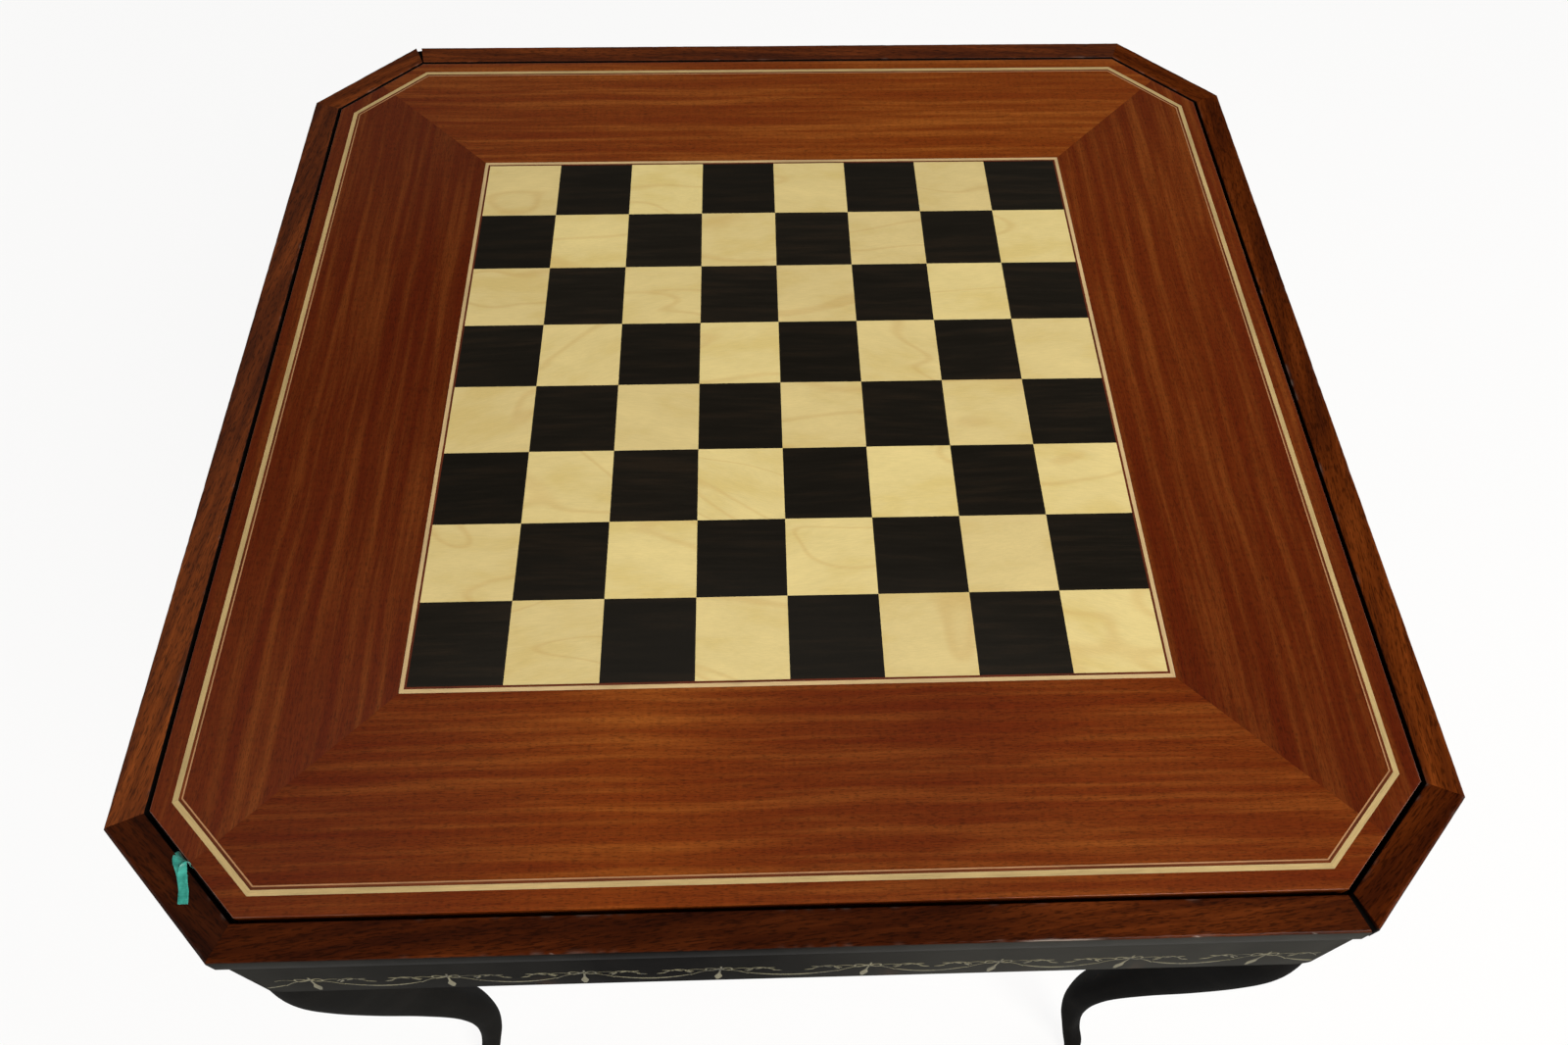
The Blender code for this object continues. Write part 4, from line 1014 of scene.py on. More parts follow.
def make_aprons(finish):
    """Eight mitred apron boards with rounded lower corners.

    The cross-section is an eased rectangle. Near each end its lower edge lifts along a
    quarter circle: at a distance t from the end it is r - sqrt(r^2 - (r - t)^2) higher.
    """
    low, high = levels("apron_front")
    thickness = APRON_OUTER[0] - APRON_INNER[0]
    profile = eased(thickness, low, high, (0.5 * MM, 0.4 * MM, 0.8 * MM, 1.6 * MM))
    # Two more points on the outer face
    part_way = np.array((0.35, 0.75)) * (high - low) + low
    profile = np.concatenate([profile, np.stack([np.zeros(2), part_way], axis=-1)])
    lower = bell(profile, 0.0, low, 2.0 * MM)
    radius = 8 * MM
    # The lift fades out over this height above the lower edge
    lifted_height = 9 * MM
    # Near enough to a cut corner's length to space the points along its board
    corner_length = 101 * MM
    long_length = 2 * (APRON_OUTER[1] * ROOT_TWO - APRON_OUTER[0])
    for number, side in enumerate(SIDES):
        long_side = side in LONG_SIDES
        middle = np.linspace(0, 1, 141 if long_side else 31)
        length = long_length if long_side else corner_length
        ends = (1 - np.cos(np.linspace(0, np.pi / 2, 10))) * radius / length
        stations = np.concatenate([ends[:-1], ends[-1] + (1 - 2 * ends[-1]) * middle,
                                   1 - ends[-2::-1]])
        rings = board(side, APRON_OUTER, profile, stations)
        near = np.minimum(rings[..., 1] - rings[:1, :, 1], rings[-1:, :, 1] - rings[..., 1])
        short = np.clip(radius - near, 0, None)
        rise = radius - np.sqrt(np.maximum(radius ** 2 - short ** 2, 0))
        share = np.clip((low + lifted_height - rings[..., 2]) / lifted_height, 0, 1)
        rings[..., 2] += rise * share
        worn = np.abs(random_line(140 + number, len(stations), 60, 0.5))
        bare = np.clip(worn - 0.7, 0, 1)[:, None] * lower
        # Grey painted along the board as a reflection of the pale floor in its polish
        solid = tube(rings, wood(rings, 120 + number), bare=bare,
                     dull=sheen_painted_along(side, rings[:, 0, 1], 160 + number))
        add_piece("apron_board_" + side, [turned_to(solid, side)], finish, "table",
                  ["apron_" + side], smooth=40)


def stroke(path, widths, face, relief=0.12 * MM):
    """A painted stroke: a flat lens carried along a path on the apron's face.

    path is (point, (along, up)); widths is its breadth at each point. The lens has five
    points: two edges let into the face, two crests a little proud of it and one inside it.
    """
    heading = np.gradient(path, axis=0)
    heading /= np.linalg.norm(heading, axis=1, keepdims=True) + 1e-12
    across = np.stack([-heading[:, 1], heading[:, 0]], axis=-1)
    shares = np.array((-0.5, -0.3, 0.3, 0.5, 0.0))
    depths = np.array((-0.1, 1.0, 1.0, -0.1, -0.6)) * relief
    spots = path[:, None, :] + across[:, None, :] * (shares[:, None] * widths[:, None, None])
    rings = np.concatenate([np.broadcast_to(face + depths[:, None], (*spots.shape[:2], 1)), spots],
                           axis=-1)
    return tube(rings)


def leaf(place, angle, length, breadth, face):
    """A leaf or petal: a stroke whose width follows half a sine wave."""
    share = np.linspace(0.0, 1.0, 9)[:, None]
    heading = np.array((math.cos(angle), math.sin(angle)))
    path = np.asarray(place) + share * length * heading
    return stroke(path, breadth * np.sin(np.pi * np.clip(share[:, 0], 0.03, 0.97)), face)


def bow(middle, level, face):
    """A bow of the painted border: two looped strokes (x = a sin t, y = b sin 2t), a hanging
    tie (down as the 1.6th power) and an arched one (half a sine wave) on each hand, a pointed
    drop under its knot (its breadth a bell curve) and a leaf across it."""
    made = []
    turn = np.linspace(0.1, np.pi - 0.1, 17)
    fine = np.linspace(0, 1, 15)
    for hand in (-1, 1):
        loop = np.stack([middle + hand * 7.5 * MM * np.sin(turn),
                         level + 0.8 * MM + 3.2 * MM * np.sin(2 * turn)], axis=-1)
        made.append(stroke(loop, np.full(17, 1.15 * MM), face))
        tie = np.stack([middle + hand * (4 + 12.5 * fine) * MM,
                        level - (1.0 + 11.0 * fine ** 1.6) * MM], axis=-1)
        made.append(stroke(tie, np.full(15, 0.7 * MM), face))
        upper = np.stack([middle + hand * (7 + 12 * fine) * MM,
                          level + 2.5 * MM * np.sin(np.pi * fine)], axis=-1)
        made.append(stroke(upper, np.full(15, 0.6 * MM), face))
    drop = np.linspace(0, 1, 17)
    path = np.stack([middle + (1.6 - 3.4 * drop) * MM, level + (7.5 - 33.0 * drop) * MM], axis=-1)
    made.append(stroke(path, (1.1 + 3.5 * np.exp(-((drop - 0.78) / 0.17) ** 2)) * MM, face))
    made.append(leaf((middle - 3.5 * MM, level + 0.8 * MM), 0.1, 7.0 * MM, 3.4 * MM, face))
    return made


def swag(left, right, limit, level, face):
    """The swag between two bows, and the spray over each of its ends.

    The swag is a parabola that swells in the middle, cut off at the limit each way. A spray
    is a low arch (half a sine wave) with four leaves, and is left out past the limit.
    """
    middle, half = (left + right) / 2, (right - left) / 2
    hang = half - 16.5 * MM
    run = np.linspace(max(-1, (-limit - middle) / hang), min(1, (limit - middle) / hang), 41)
    path = np.stack([middle + run * hang, level - 18.5 * MM + 8.0 * MM * run ** 2], axis=-1)
    made = [stroke(path, (0.8 + 1.7 * (1 - run ** 2)) * MM, face)]
    fine = np.linspace(0, 1, 15)
    for hand in (-1, 1):
        start = middle + hand * (half - 14.5 * MM)
        if abs(start) > limit or abs(start - hand * 18.0 * MM) > limit:
            continue
        arch = np.stack([start - hand * 17.0 * fine * MM,
                         level - (7.0 - 10.0 * np.sin(np.pi * (0.12 + 0.8 * fine))) * MM], axis=-1)
        made.append(stroke(arch, (0.5 + 0.6 * np.sin(np.pi * fine)) * MM, face))
        # Each leaf's distance from the spray's start, rise and tilt in degrees, and length
        for distance, rise, tilt, length in ((1.0, -6.0, 55.0, 6.5), (6.0, -1.0, 35.0, 6.0),
                                             (11.0, 0.5, 12.0, 6.5), (15.5, -4.5, -20.0, 6.0)):
            place = start - hand * distance * MM
            if abs(place - hand * 5.0 * MM) < limit:
                made.append(leaf((place, level + rise * MM), math.radians(90 + hand * (90 - tilt)),
                                 length * MM, 1.7 * MM, face))
    return made


def make_garland(sizes, finish):
    """The border of bows and swags, painted low along the four long aprons.

    The bows stand at an even pitch, each moved a little as a hand-painted one is, with a
    swag between every two and part of one at each end of the board.
    """
    level = levels("apron_front")[0] + sizes.garland_rise
    face = APRON_OUTER[0]
    limit = APRON_OUTER[1] * ROOT_TWO - APRON_OUTER[0] - 2 * MM
    places = (np.arange(len(BOW_SHIFTS)) - (len(BOW_SHIFTS) - 1) / 2) * sizes.garland_pitch
    places = places + BOW_SHIFTS
    ends = sizes.garland_pitch * np.array((-1, 1)) + places[[0, -1]]
    stops = np.concatenate([ends[:1], places, ends[1:]])
    for side in LONG_SIDES:
        solids = []
        for middle in places:
            solids += bow(middle, level, face)
        for left, right in zip(stops[:-1], stops[1:]):
            solids += swag(left, right, limit, level, face)
        add_piece("garland_" + side, [turned_to(part, side) for part in solids], finish,
                  "table", smooth=40)


# Legs and the games well


# The leg from the floor up, in shares: height, the outer and the inner face's depth behind
# the cut corner in shares of 66 mm, the width in shares of 94 mm
LEG_SECTIONS = np.array((
    (0.000, 0.140, 0.380, 0.19),
    (0.030, 0.215, 0.450, 0.22),
    (0.070, 0.370, 0.580, 0.23),
    (0.120, 0.495, 0.730, 0.25),
    (0.175, 0.565, 0.890, 0.29),
    (0.240, 0.600, 1.000, 0.33),
    (0.310, 0.590, 1.010, 0.38),
    (0.400, 0.500, 0.920, 0.42),
    (0.520, 0.275, 0.820, 0.47),
    (0.640, 0.020, 0.770, 0.54),
    (0.760, -0.175, 0.755, 0.67),
    (0.850, -0.255, 0.860, 0.80),
    (0.920, -0.180, 0.980, 0.87),
    (1.000, 0.000, 1.100, 0.90),
))
KNEE_DEPTH = 66 * MM
KNEE_WIDTH = 94 * MM
SECTION_POWER = 2.7


def smooth_columns(rows, shares):
    """The columns of a table at new shares of its first column, on cubic arcs whose slope at
    a row is that of the line between its two neighbours."""
    keys, values = rows[:, 0], rows[:, 1:]
    before = np.maximum(np.arange(len(keys)) - 1, 0)
    after = np.minimum(np.arange(len(keys)) + 1, len(keys) - 1)
    slopes = (values[after] - values[before]) / (keys[after] - keys[before])[:, None]
    first = np.clip(np.searchsorted(keys, shares, side="right") - 1, 0, len(keys) - 2)
    span = (keys[first + 1] - keys[first])[:, None]
    part = ((shares - keys[first])[:, None]) / span
    square, cube = part ** 2, part ** 3
    return ((2 * cube - 3 * square + 1) * values[first]
            + (cube - 2 * square + part) * span * slopes[first]
            + (3 * square - 2 * cube) * values[first + 1]
            + (cube - square) * span * slopes[first + 1])


def leg_solid(dull):
    """A cabriole leg: level sections stacked from the foot to the knee.

    A section is a superellipse, cosine and sine each raised to 2 / 2.7 with their sign kept,
    stretched between the leg's outer and inner face and to its width. The last sections at
    the foot draw in along a quarter circle, so that it stands on a rounded pad.
    """
    pad = 2.2 * MM
    thinnest = 0.5 * MM
    around = 64
    height = LEG_TOP - FOOT_LIFT
    rising = np.concatenate([(1 - np.cos(np.linspace(0, np.pi / 2, 7)[:-1])) * pad / height,
                             np.linspace(pad / height, 1.0, 110)])
    outer, inner, width = smooth_columns(LEG_SECTIONS, rising).T
    below = np.clip(pad - rising * height, 0, None)
    draw_in = pad - np.sqrt(np.maximum(pad ** 2 - below ** 2, 0))
    turn = np.linspace(0, 2 * np.pi, around + 1)[:-1]
    cosine, sine = [np.sign(value) * np.abs(value) ** (2 / SECTION_POWER)
                    for value in (np.cos(turn), np.sin(turn))]
    half_depth = np.maximum(KNEE_DEPTH * (inner - outer) / 2 - draw_in, thinnest)
    middle = LEG_FACE - KNEE_DEPTH * (outer + inner) / 2
    half_width = np.maximum(KNEE_WIDTH * width / 2 - draw_in, thinnest)
    rings = np.empty((len(rising), around, 3))
    rings[..., 0] = middle[:, None] + half_depth[:, None] * cosine
    rings[..., 1] = half_width[:, None] * sine
    rings[..., 2] = (FOOT_LIFT + rising * height)[:, None]
    return tube(rings, rings[..., [2, 0, 1]], dull=dull)


def post_solid():
    """The post above the knee: an eased rectangle in plan, carried upwards from inside the
    knee and drawn in a millimetre at its top."""
    half = 28 * MM
    plan = eased(POST_FACE - POST_BACK, -half, half, (1.5 * MM, 2 * MM, 2 * MM, 1.5 * MM))
    rising = np.array((LEG_TOP - 12 * MM, LEG_TOP + 1 * MM, POST_TOP - 1.2 * MM, POST_TOP))
    draw_in = np.array((0, 0, 0, 1.0)) * MM
    rings = np.empty((len(rising), len(plan), 3))
    rings[..., 0] = POST_FACE - plan[:, 0]
    rings[..., 1] = plan[:, 1] * (1 - draw_in[:, None] / half)
    rings[..., 2] = rising[:, None]
    return tube(rings, rings[..., [2, 0, 1]])


def make_legs(finish):
    """Four legs, each the curved leg joined to its post. The front left one has a little grey
    painted on as a reflection in its polish."""
    for side in CORNERS:
        # A little painted reflection on the front left leg
        dull = 0.035 if side == "front_left" else 0.0
        leg = add_piece("cabriole_" + side, [turned_to(leg_solid(dull), side)], finish, "table",
                        ["leg_" + side], smooth=50)
        post = add_piece("post_" + side, [turned_to(post_solid(), side)], finish, "table")
        join = leg.modifiers.new("glued_post", "BOOLEAN")
        join.operation = "UNION"
        join.solver = "EXACT"
        join.object = post
        bpy.context.view_layer.update()
        graph = bpy.context.evaluated_depsgraph_get()
        joined = bpy.data.meshes.new_from_object(leg.evaluated_get(graph))
        leg.modifiers.clear()
        leg.data = joined
        joined.materials.clear()
        joined.materials.append(finish)
        joined.shade_smooth()
        joined.set_sharp_from_angle(angle=math.radians(40))
        bpy.data.objects.remove(post, do_unlink=True)


def screw_head(place, out, along, radius, turn):
    """A slotted countersunk screw head seen from outside.

    Height over the head is a low dome, 1 - (r / R)^2, cut down to the slot's floor where a
    point lies within half the slot's width of the slot's line; the skirt is a short cone.
    """
    out, along = np.asarray(out, float), np.asarray(along, float)
    side = np.cross(out, along)
    around = np.linspace(0, 2 * np.pi, 25)[:-1] + turn
    radii = np.array((0.06, 0.2, 0.3, 0.45, 0.6, 0.75, 0.9, 1.0, 1.0)) * radius
    height = 0.28 * radius * (1 - (radii / radius) ** 2)
    height[-1] = -0.5 * radius
    sine = radii[:, None] * np.sin(around - turn)
    slot = 1 / (1 + (np.abs(sine) / (0.16 * radius)) ** 8)
    deep = np.broadcast_to(height[:, None], sine.shape).copy()
    deep[:-1] -= slot[:-1] * 0.32 * radius
    rings = (np.asarray(place) + deep[..., None] * out
             + (radii[:, None] * np.cos(around))[..., None] * along
             + (radii[:, None] * np.sin(around))[..., None] * side)
    return tube(rings)


def bracket_wing_screws():
    """Two screw places on each wing of a corner bracket, for a corner on +X: where the screw
    stands, the way it points and the way up."""
    plate = POST_BACK - BRACKET_TO_POST - BRACKET_THICKNESS / 2
    side = (WALL_OUTER[0] - BRACKET_THICKNESS / 2) * ROOT_TWO - plate
    wing = np.array((-1, 1)) / ROOT_TWO
    inward = np.array((-1, -1)) / ROOT_TWO
    spots = []
    for hand in (1, -1):
        for distance in (10 * MM, 22 * MM):
            spot = np.array((plate, side)) + wing * distance + inward * 1.5 * MM
            spots.append(((spot[0], spot[1] * hand, BRACKET_LEVEL + (distance - 16 * MM) * 0.6),
                          (inward[0], inward[1] * hand, 0.0), (0.0, 0.0, 1.0)))
    return spots


def make_screws(steel):
    """Slotted screws through the bracket wings and the floor cleats."""
    random = np.random.default_rng(3)
    for side in CORNERS:
        heads = [turned_to(screw_head(place, out, along, 3.6 * MM, random.uniform(0, np.pi)), side)
                 for place, out, along in bracket_wing_screws()]
        add_piece("bracket_screws_" + side, heads, steel, "table", smooth=35)
    for side in LONG_SIDES:
        low, high = levels("floor_cleat_" + side)
        face = reach("floor_cleat_" + side, side)[0]
        heads = [turned_to(screw_head((face - 0.1 * MM, away, (low + high) / 2), (-1, 0, 0),
                                      (0, 1, 0), 3.4 * MM, random.uniform(0, np.pi)), side)
                 for away in (-150 * MM, -50 * MM, 50 * MM, 150 * MM)]
        add_piece("cleat_screws_" + side, heads, steel, "table", smooth=35)


def threaded_bolt(start, length, radius, pitch=1.25 * MM):
    """A threaded bolt lying along +X: radius less a triangle wave of height half the pitch,
    whose phase is the distance along over the pitch less the turn round the axis. Its ends
    are chamfered."""
    steps = int(length / pitch * 6)
    along = np.linspace(0, length, steps)
    around = np.linspace(0, 2 * np.pi, 25)[:-1]
    phase = (along[:, None] / pitch - around / (2 * np.pi)) % 1.0
    groove = 0.5 * pitch * np.abs(2 * phase - 1)
    end = np.clip(np.minimum(along, length - along) / (1.2 * MM), 0.0, 1.0)
    size = radius - groove - (1 - end[:, None]) * 0.8 * MM
    rings = np.stack([np.broadcast_to(start + along[:, None], size.shape),
                      size * np.cos(around), BRACKET_LEVEL + size * np.sin(around)], axis=-1)
    return tube(rings)


def turned(profile, place, sides=48):
    """A piece turned on a lathe: a profile (radius, height) carried round an upright axis."""
    around = np.linspace(0, 2 * np.pi, sides + 1)[:-1]
    profile = np.asarray(profile, float)
    rings = np.stack([place + profile[:, :1] * np.cos(around), profile[:, :1] * np.sin(around),
                      np.broadcast_to(profile[:, 1:], (len(profile), sides))], axis=-1)
    return tube(rings)


def make_fixings(steel, plastic):
    """Threaded bolts through the corner brackets, and the glides under the feet."""
    for side in CORNERS:
        start, end = reach("leg_bolt_" + side, side)
        bolt = threaded_bolt(start, end - start, 4.0 * MM)
        add_piece("threaded_bolt_" + side, [turned_to(bolt, side)], steel, "table",
                  ["leg_bolt_" + side], smooth=60)
        near, far = reach("foot_glide_" + side, side)
        middle, radius = (near + far) / 2, (far - near) / 2
        # A disc with a rounded lower rim, and the pin that holds it in the foot
        rounding = 0.9 * MM
        turn = np.linspace(0, np.pi / 2, 6)
        rim = np.stack([radius - rounding * (1 - np.sin(turn)), rounding * (1 - np.cos(turn))],
                       axis=-1)
        profile = np.concatenate([((0.4 * MM, 0.0),), rim, ((radius, 3.3 * MM),
                                  (radius - 0.4 * MM, 3.7 * MM), (1.2 * MM, 3.7 * MM),
                                  (1.2 * MM, 11.5 * MM), (0.3 * MM, 12.7 * MM))])
        add_piece("glide_" + side, [turned_to(turned(profile, middle), side)], plastic, "table",
                  ["foot_glide_" + side], smooth=40)


def make_well(colours):
    """The well's mitred walls and the cleats under its floor, both eased rectangles carried
    along each side; the floor and the panel's core keep their solids and get a finish."""
    low, high = levels("well_walls")
    inside = stained_mahogany("mahogany_stained_inside", colours.mahogany_dark)
    solids = ring_of_boards(WALL_OUTER, WALL_THICKNESS, low, high, 400,
                            radii=(0.2 * MM, 1.2 * MM, 0.6 * MM, 0.4 * MM), steps=4, stations=41)
    add_piece("well_ring", solids, inside, "table", ["well_walls"], smooth=40)
    softwood = pine(colours)
    for number, side in enumerate(LONG_SIDES):
        name = "floor_cleat_" + side
        bottom, top = levels(name)
        near, far = reach(name, side)
        half = reach(name, SIDES[(SIDES.index(side) + 2) % 8])[1]
        profile = eased(far - near, bottom, top, (0.2 * MM, 0.8 * MM, 1.0 * MM, 0.6 * MM))
        stations = np.linspace(-half, half, 41)
        rings = np.empty((41, len(profile), 3))
        rings[..., 0] = far - profile[:, 0]
        rings[..., 1] = stations[:, None]
        rings[..., 2] = profile[:, 1]
        add_piece("cleat_" + side, [turned_to(tube(rings, wood(rings, 420 + number)), side)],
                  softwood, "table", [name], smooth=40)
    for node, finish in (("well_floor", plywood(colours)), ("panel_core", panel_board(colours))):
        dress(node, finish)


def dress(node, finish):
    """Give a CAD node a finish in place of the plain one it came with."""
    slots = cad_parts[node].material_slots
    if not slots:
        raise RuntimeError(f"{node} has no material slot")
    for place in slots:
        place.link = "OBJECT"
        place.material = finish


# Ribbon tab


def make_ribbon(sizes, finish):
    """The satin tab: a strip 12 mm wide that lies under the panel, rises through the gap at
    the front left corner and falls over the frame towards the front, folded along itself.

    The strip's middle line is a smooth path through (distance from the middle, sideways,
    level) stations, and its width is carried across that line. Past the gap the flap right
    of a crease turns over on to the rest: at a distance t from the crease it lies at t cos a
    across and 0.6 t sin a up, where a goes from 0 to half a turn.
    """
    low = CORE_BOTTOM + 0.45 * MM
    gap = (PANEL_OUTER[1] + FRAME_INNER[1]) / 2
    half = sizes.ribbon_width / 2
    tuck, exit_at = 26 * MM, -6.0 * MM
    stops = np.array((
        # distance out, sideways, level, flap's width, share of its half turn
        (PANEL_OUTER[1] - tuck, exit_at, low, 2.0 * MM, 0.0),
        (PANEL_OUTER[1] - 0.6 * tuck, exit_at, low, 2.0 * MM, 0.0),
        (gap - 3 * MM, exit_at, low, 2.0 * MM, 0.0),
        (gap - 0.6 * MM, exit_at, low + 0.2 * MM, 2.0 * MM, 0.0),
        (gap, exit_at, low + 2.0 * MM, 2.0 * MM, 0.0),
        (gap, exit_at, low + 9.0 * MM, 3.0 * MM, 0.0),
        (gap, exit_at + 0.3 * MM, TOP - 1.2 * MM, 3.0 * MM, 0.02),
        (gap + 0.9 * MM, exit_at + 1.3 * MM, TOP + 0.7 * MM, 3.0 * MM, 0.25),
        (gap + 2.8 * MM, exit_at + 4.8 * MM, TOP + 1.5 * MM, 4.2 * MM, 0.80),
        (gap + 5.0 * MM, exit_at + 9.2 * MM, TOP + 1.1 * MM, 5.5 * MM, 0.97),
        (gap + 8.8 * MM, exit_at + 16.6 * MM, TOP + 0.45 * MM, 5.9 * MM, 0.99),
        (FRAME_INNER[1] + 11.7 * MM, exit_at + 22.9 * MM, TOP + 0.5 * MM, 5.9 * MM, 0.93),
    ))
    place = np.concatenate([[0], np.cumsum(np.linalg.norm(np.diff(stops[:, :3], axis=0), axis=1))])
    walk = np.linspace(0, place[-1], 161)
    rows = np.stack([np.interp(walk, place, column) for column in stops.T], axis=-1)
    kernel = np.hanning(9) / np.hanning(9).sum()
    padded = np.pad(rows, ((4, 4), (0, 0)), mode="edge")
    rows = np.stack([np.convolve(column, kernel, mode="valid") for column in padded.T], axis=-1)
    share = np.linspace(-1, 1, 25)
    # Past 58 percent of its length it has left the gap, and its width swings through 45 degrees
    lying = np.clip((walk - walk[-1] * 0.58) / (walk[-1] * 0.10), 0, 1)
    across = np.stack([-lying * 0.70, 1 - lying * 0.29, np.zeros(len(walk))], axis=-1)
    across /= np.linalg.norm(across, axis=1, keepdims=True)
    flap, turned_over = rows[:, 3:4], rows[:, 4:5]
    past = np.clip(share * half - (half - flap), 0, None)
    over = past * np.cos(np.pi * turned_over) + np.minimum(share * half, half - flap)
    over = (over + turned_over * flap / 2) * (1 - 0.12 * turned_over)
    points = rows[:, None, :3] + across[:, None, :] * over[..., None]
    points[..., 2] += 0.6 * past * np.sin(np.pi * turned_over)
    # The turned flap lies on the rest, a little above it
    points[..., 2] += 0.3 * MM * np.sqrt(np.clip(past / MM, 0, 1)) * turned_over
    out = np.cross(np.gradient(points, axis=0), np.gradient(points, axis=1))
    out /= np.linalg.norm(out, axis=2, keepdims=True)
    thick = 0.12 * MM
    upper, under = points + out * thick / 2, points - out * thick / 2
    rings = np.concatenate([upper, under[:, ::-1]], axis=1)
    grain = np.zeros(rings.shape)
    grain[..., 0] = walk[:, None]
    grain[..., 1] = np.concatenate([share, share[::-1]]) * half
    made = add_piece("ribbon", [turned_to(tube(rings, grain), "front_left")], finish,
                     "chess_panel", ["ribbon_tab"], smooth=30)


# What a user can change


def colour_property(name, colour, description):
    """A colour to choose in the panel, given as an sRGB hex value."""
    return bpy.props.FloatVectorProperty(name=name, description=description, subtype="COLOR",
                                         size=3, min=0.0, max=1.0, default=to_linear(colour))


def length_property(name, millimetres, description, low=0.0, high=100.0):
    """A length to choose in the panel, given in millimetres."""
    return bpy.props.FloatProperty(name=name, description=description, unit="LENGTH",
                                   default=millimetres * MM, min=low * MM, max=high * MM,
                                   precision=4)


class TableSizes(bpy.types.PropertyGroup):
    """Sizes of the trim that lies on the CAD's frame."""

    rail_arris: length_property("Rail arris", 1.8, "Radius of the top frame's outer top edge",
                                0.2, 4.0)
    brown_line: length_property("Brown line", 1.25, "Width of the brown line round the squares",
                                0.3, 2.0)
    pale_line: length_property("Pale line", 2.4, "Width of the pale line round the squares",
                               0.5, 5.0)
    band_string: length_property("Band", 3.2, "Width of the broad octagonal string", 1.0, 6.0)
    dark_string: length_property("Dark string", 1.5, "Width of the brown octagonal string",
                                 0.3, 3.0)
    fine_string: length_property("Fine string", 0.8, "Width of the fine octagonal string",
                                 0.3, 2.0)
    garland_pitch: length_property("Garland pitch", 75.5, "Distance from one bow to the next",
                                   50.0, 100.0)
    garland_rise: length_property("Garland rise", 31.0, "Height of the bows above the apron's foot",
                                  12.0, 60.0)
    ribbon_width: length_property("Ribbon width", 12.0, "Width of the ribbon when flat", 6.0, 20.0)
    ribbon_length: length_property("Ribbon length", 70.0, "Length of the ribbon when flat",
                                   50.0, 90.0)


class TableColours(bpy.types.PropertyGroup):
    """Colours of the finishes."""

    sapele_dark: colour_property("Sapele, dark", "#692a07", "Dark stripes of the veneer border")
    sapele_middle: colour_property("Sapele", "#71330b", "Ground colour of the veneer border")
    sapele_light: colour_property("Sapele, light", "#874817", "Light stripes of the border")
    mahogany_dark: colour_property("Mahogany, dark", "#2e1104", "Dark stripes of the rails")
    mahogany_middle: colour_property("Mahogany", "#3f1a05", "Ground colour of the rails")
    mahogany_light: colour_property("Mahogany, light", "#52260a", "Light stripes of the rails")
    maple: colour_property("Maple", "#dfcd8f", "Light squares")
    ebony: colour_property("Ebony", "#120f0b", "Dark squares")
    ebonised: colour_property("Ebonised wood", "#0c0b0a", "Aprons and legs")
    brown_line: colour_property("Brown line", "#5c2614", "Brown line round the squares")
    pale_line: colour_property("Pale line", "#cdb283", "Pale line round the squares")
    brown_string: colour_property("Brown string", "#5f2c14", "Brown octagonal string")
    fine_string: colour_property("Fine string", "#b0825a", "Fine octagonal string")
    band: colour_property("Band", "#bda573", "Broad octagonal string")
    gilt: colour_property("Gilt paint", "#6c674d", "Painted garland on the aprons")
    ribbon: colour_property("Ribbon", "#3fae9f", "Satin tab where it is lit")
    # The satin's shaded colour, painted as shade in its crumples
    ribbon_painted_shade: colour_property("Ribbon, shaded", "#1d7f74", "Satin tab between its threads")
    baize: colour_property("Baize", "#2f5a3c", "Lining of the well and cloth under the panel")
    pine: colour_property("Pine", "#c4a26c", "Cleats under the well")
    plywood: colour_property("Plywood", "#bd9c6e", "Floor of the well and core of the panel")


class TableStage(bpy.types.PropertyGroup):
    """Camera, floor and lamps."""

    lens: bpy.props.FloatProperty(name="Lens", description="Focal length on a 36 mm sensor",
                                  default=26.25, min=10.0, max=200.0, unit="CAMERA")
    floor: colour_property("Floor", "#f4f3f1", "Pale studio floor")
    key: bpy.props.FloatProperty(name="Key", description="Power of the main soft lamp",
                                 default=125.0, min=0.0, max=1000.0, unit="POWER")
    fill: bpy.props.FloatProperty(name="Fill", description="Power of the two side lamps",
                                  default=26.0, min=0.0, max=1000.0, unit="POWER")


# Operators


class GAMESTABLE_OT_rails(bpy.types.Operator):
    """Make the eight mitred rails of the top frame"""

    bl_idname = "games_table.rails"
    bl_label = "Top rails"
    bl_options = {"REGISTER", "UNDO"}

    def execute(self, context):
        scene = context.scene
        make_rails(scene.games_table_sizes, mahogany(scene.games_table_colours))
        return {"FINISHED"}


class GAMESTABLE_OT_panel(bpy.types.Operator):
    """Make the lift-out panel: veneer border, lipping, lines and strings"""

    bl_idname = "games_table.panel"
    bl_label = "Panel and stringing"
    bl_options = {"REGISTER", "UNDO"}

    def execute(self, context):
        sizes, colours = context.scene.games_table_sizes, context.scene.games_table_colours
        make_border(sizes, sapele(colours))
        make_panel_edge(mahogany(colours))
        make_strings(sizes, colours)
        return {"FINISHED"}


class GAMESTABLE_OT_squares(bpy.types.Operator):
    """Make the 64 squares of the chessboard"""

    bl_idname = "games_table.squares"
    bl_label = "Chessboard"
    bl_options = {"REGISTER", "UNDO"}

    def execute(self, context):
        make_squares(context.scene.games_table_colours)
        return {"FINISHED"}


class GAMESTABLE_OT_aprons(bpy.types.Operator):
    """Make the eight ebonised aprons and their painted garland"""

    bl_idname = "games_table.aprons"
    bl_label = "Aprons and garland"
    bl_options = {"REGISTER", "UNDO"}

    def execute(self, context):
        colours = context.scene.games_table_colours
        make_aprons(ebonised(colours))
        make_garland(context.scene.games_table_sizes, gilt_paint(colours))
        return {"FINISHED"}


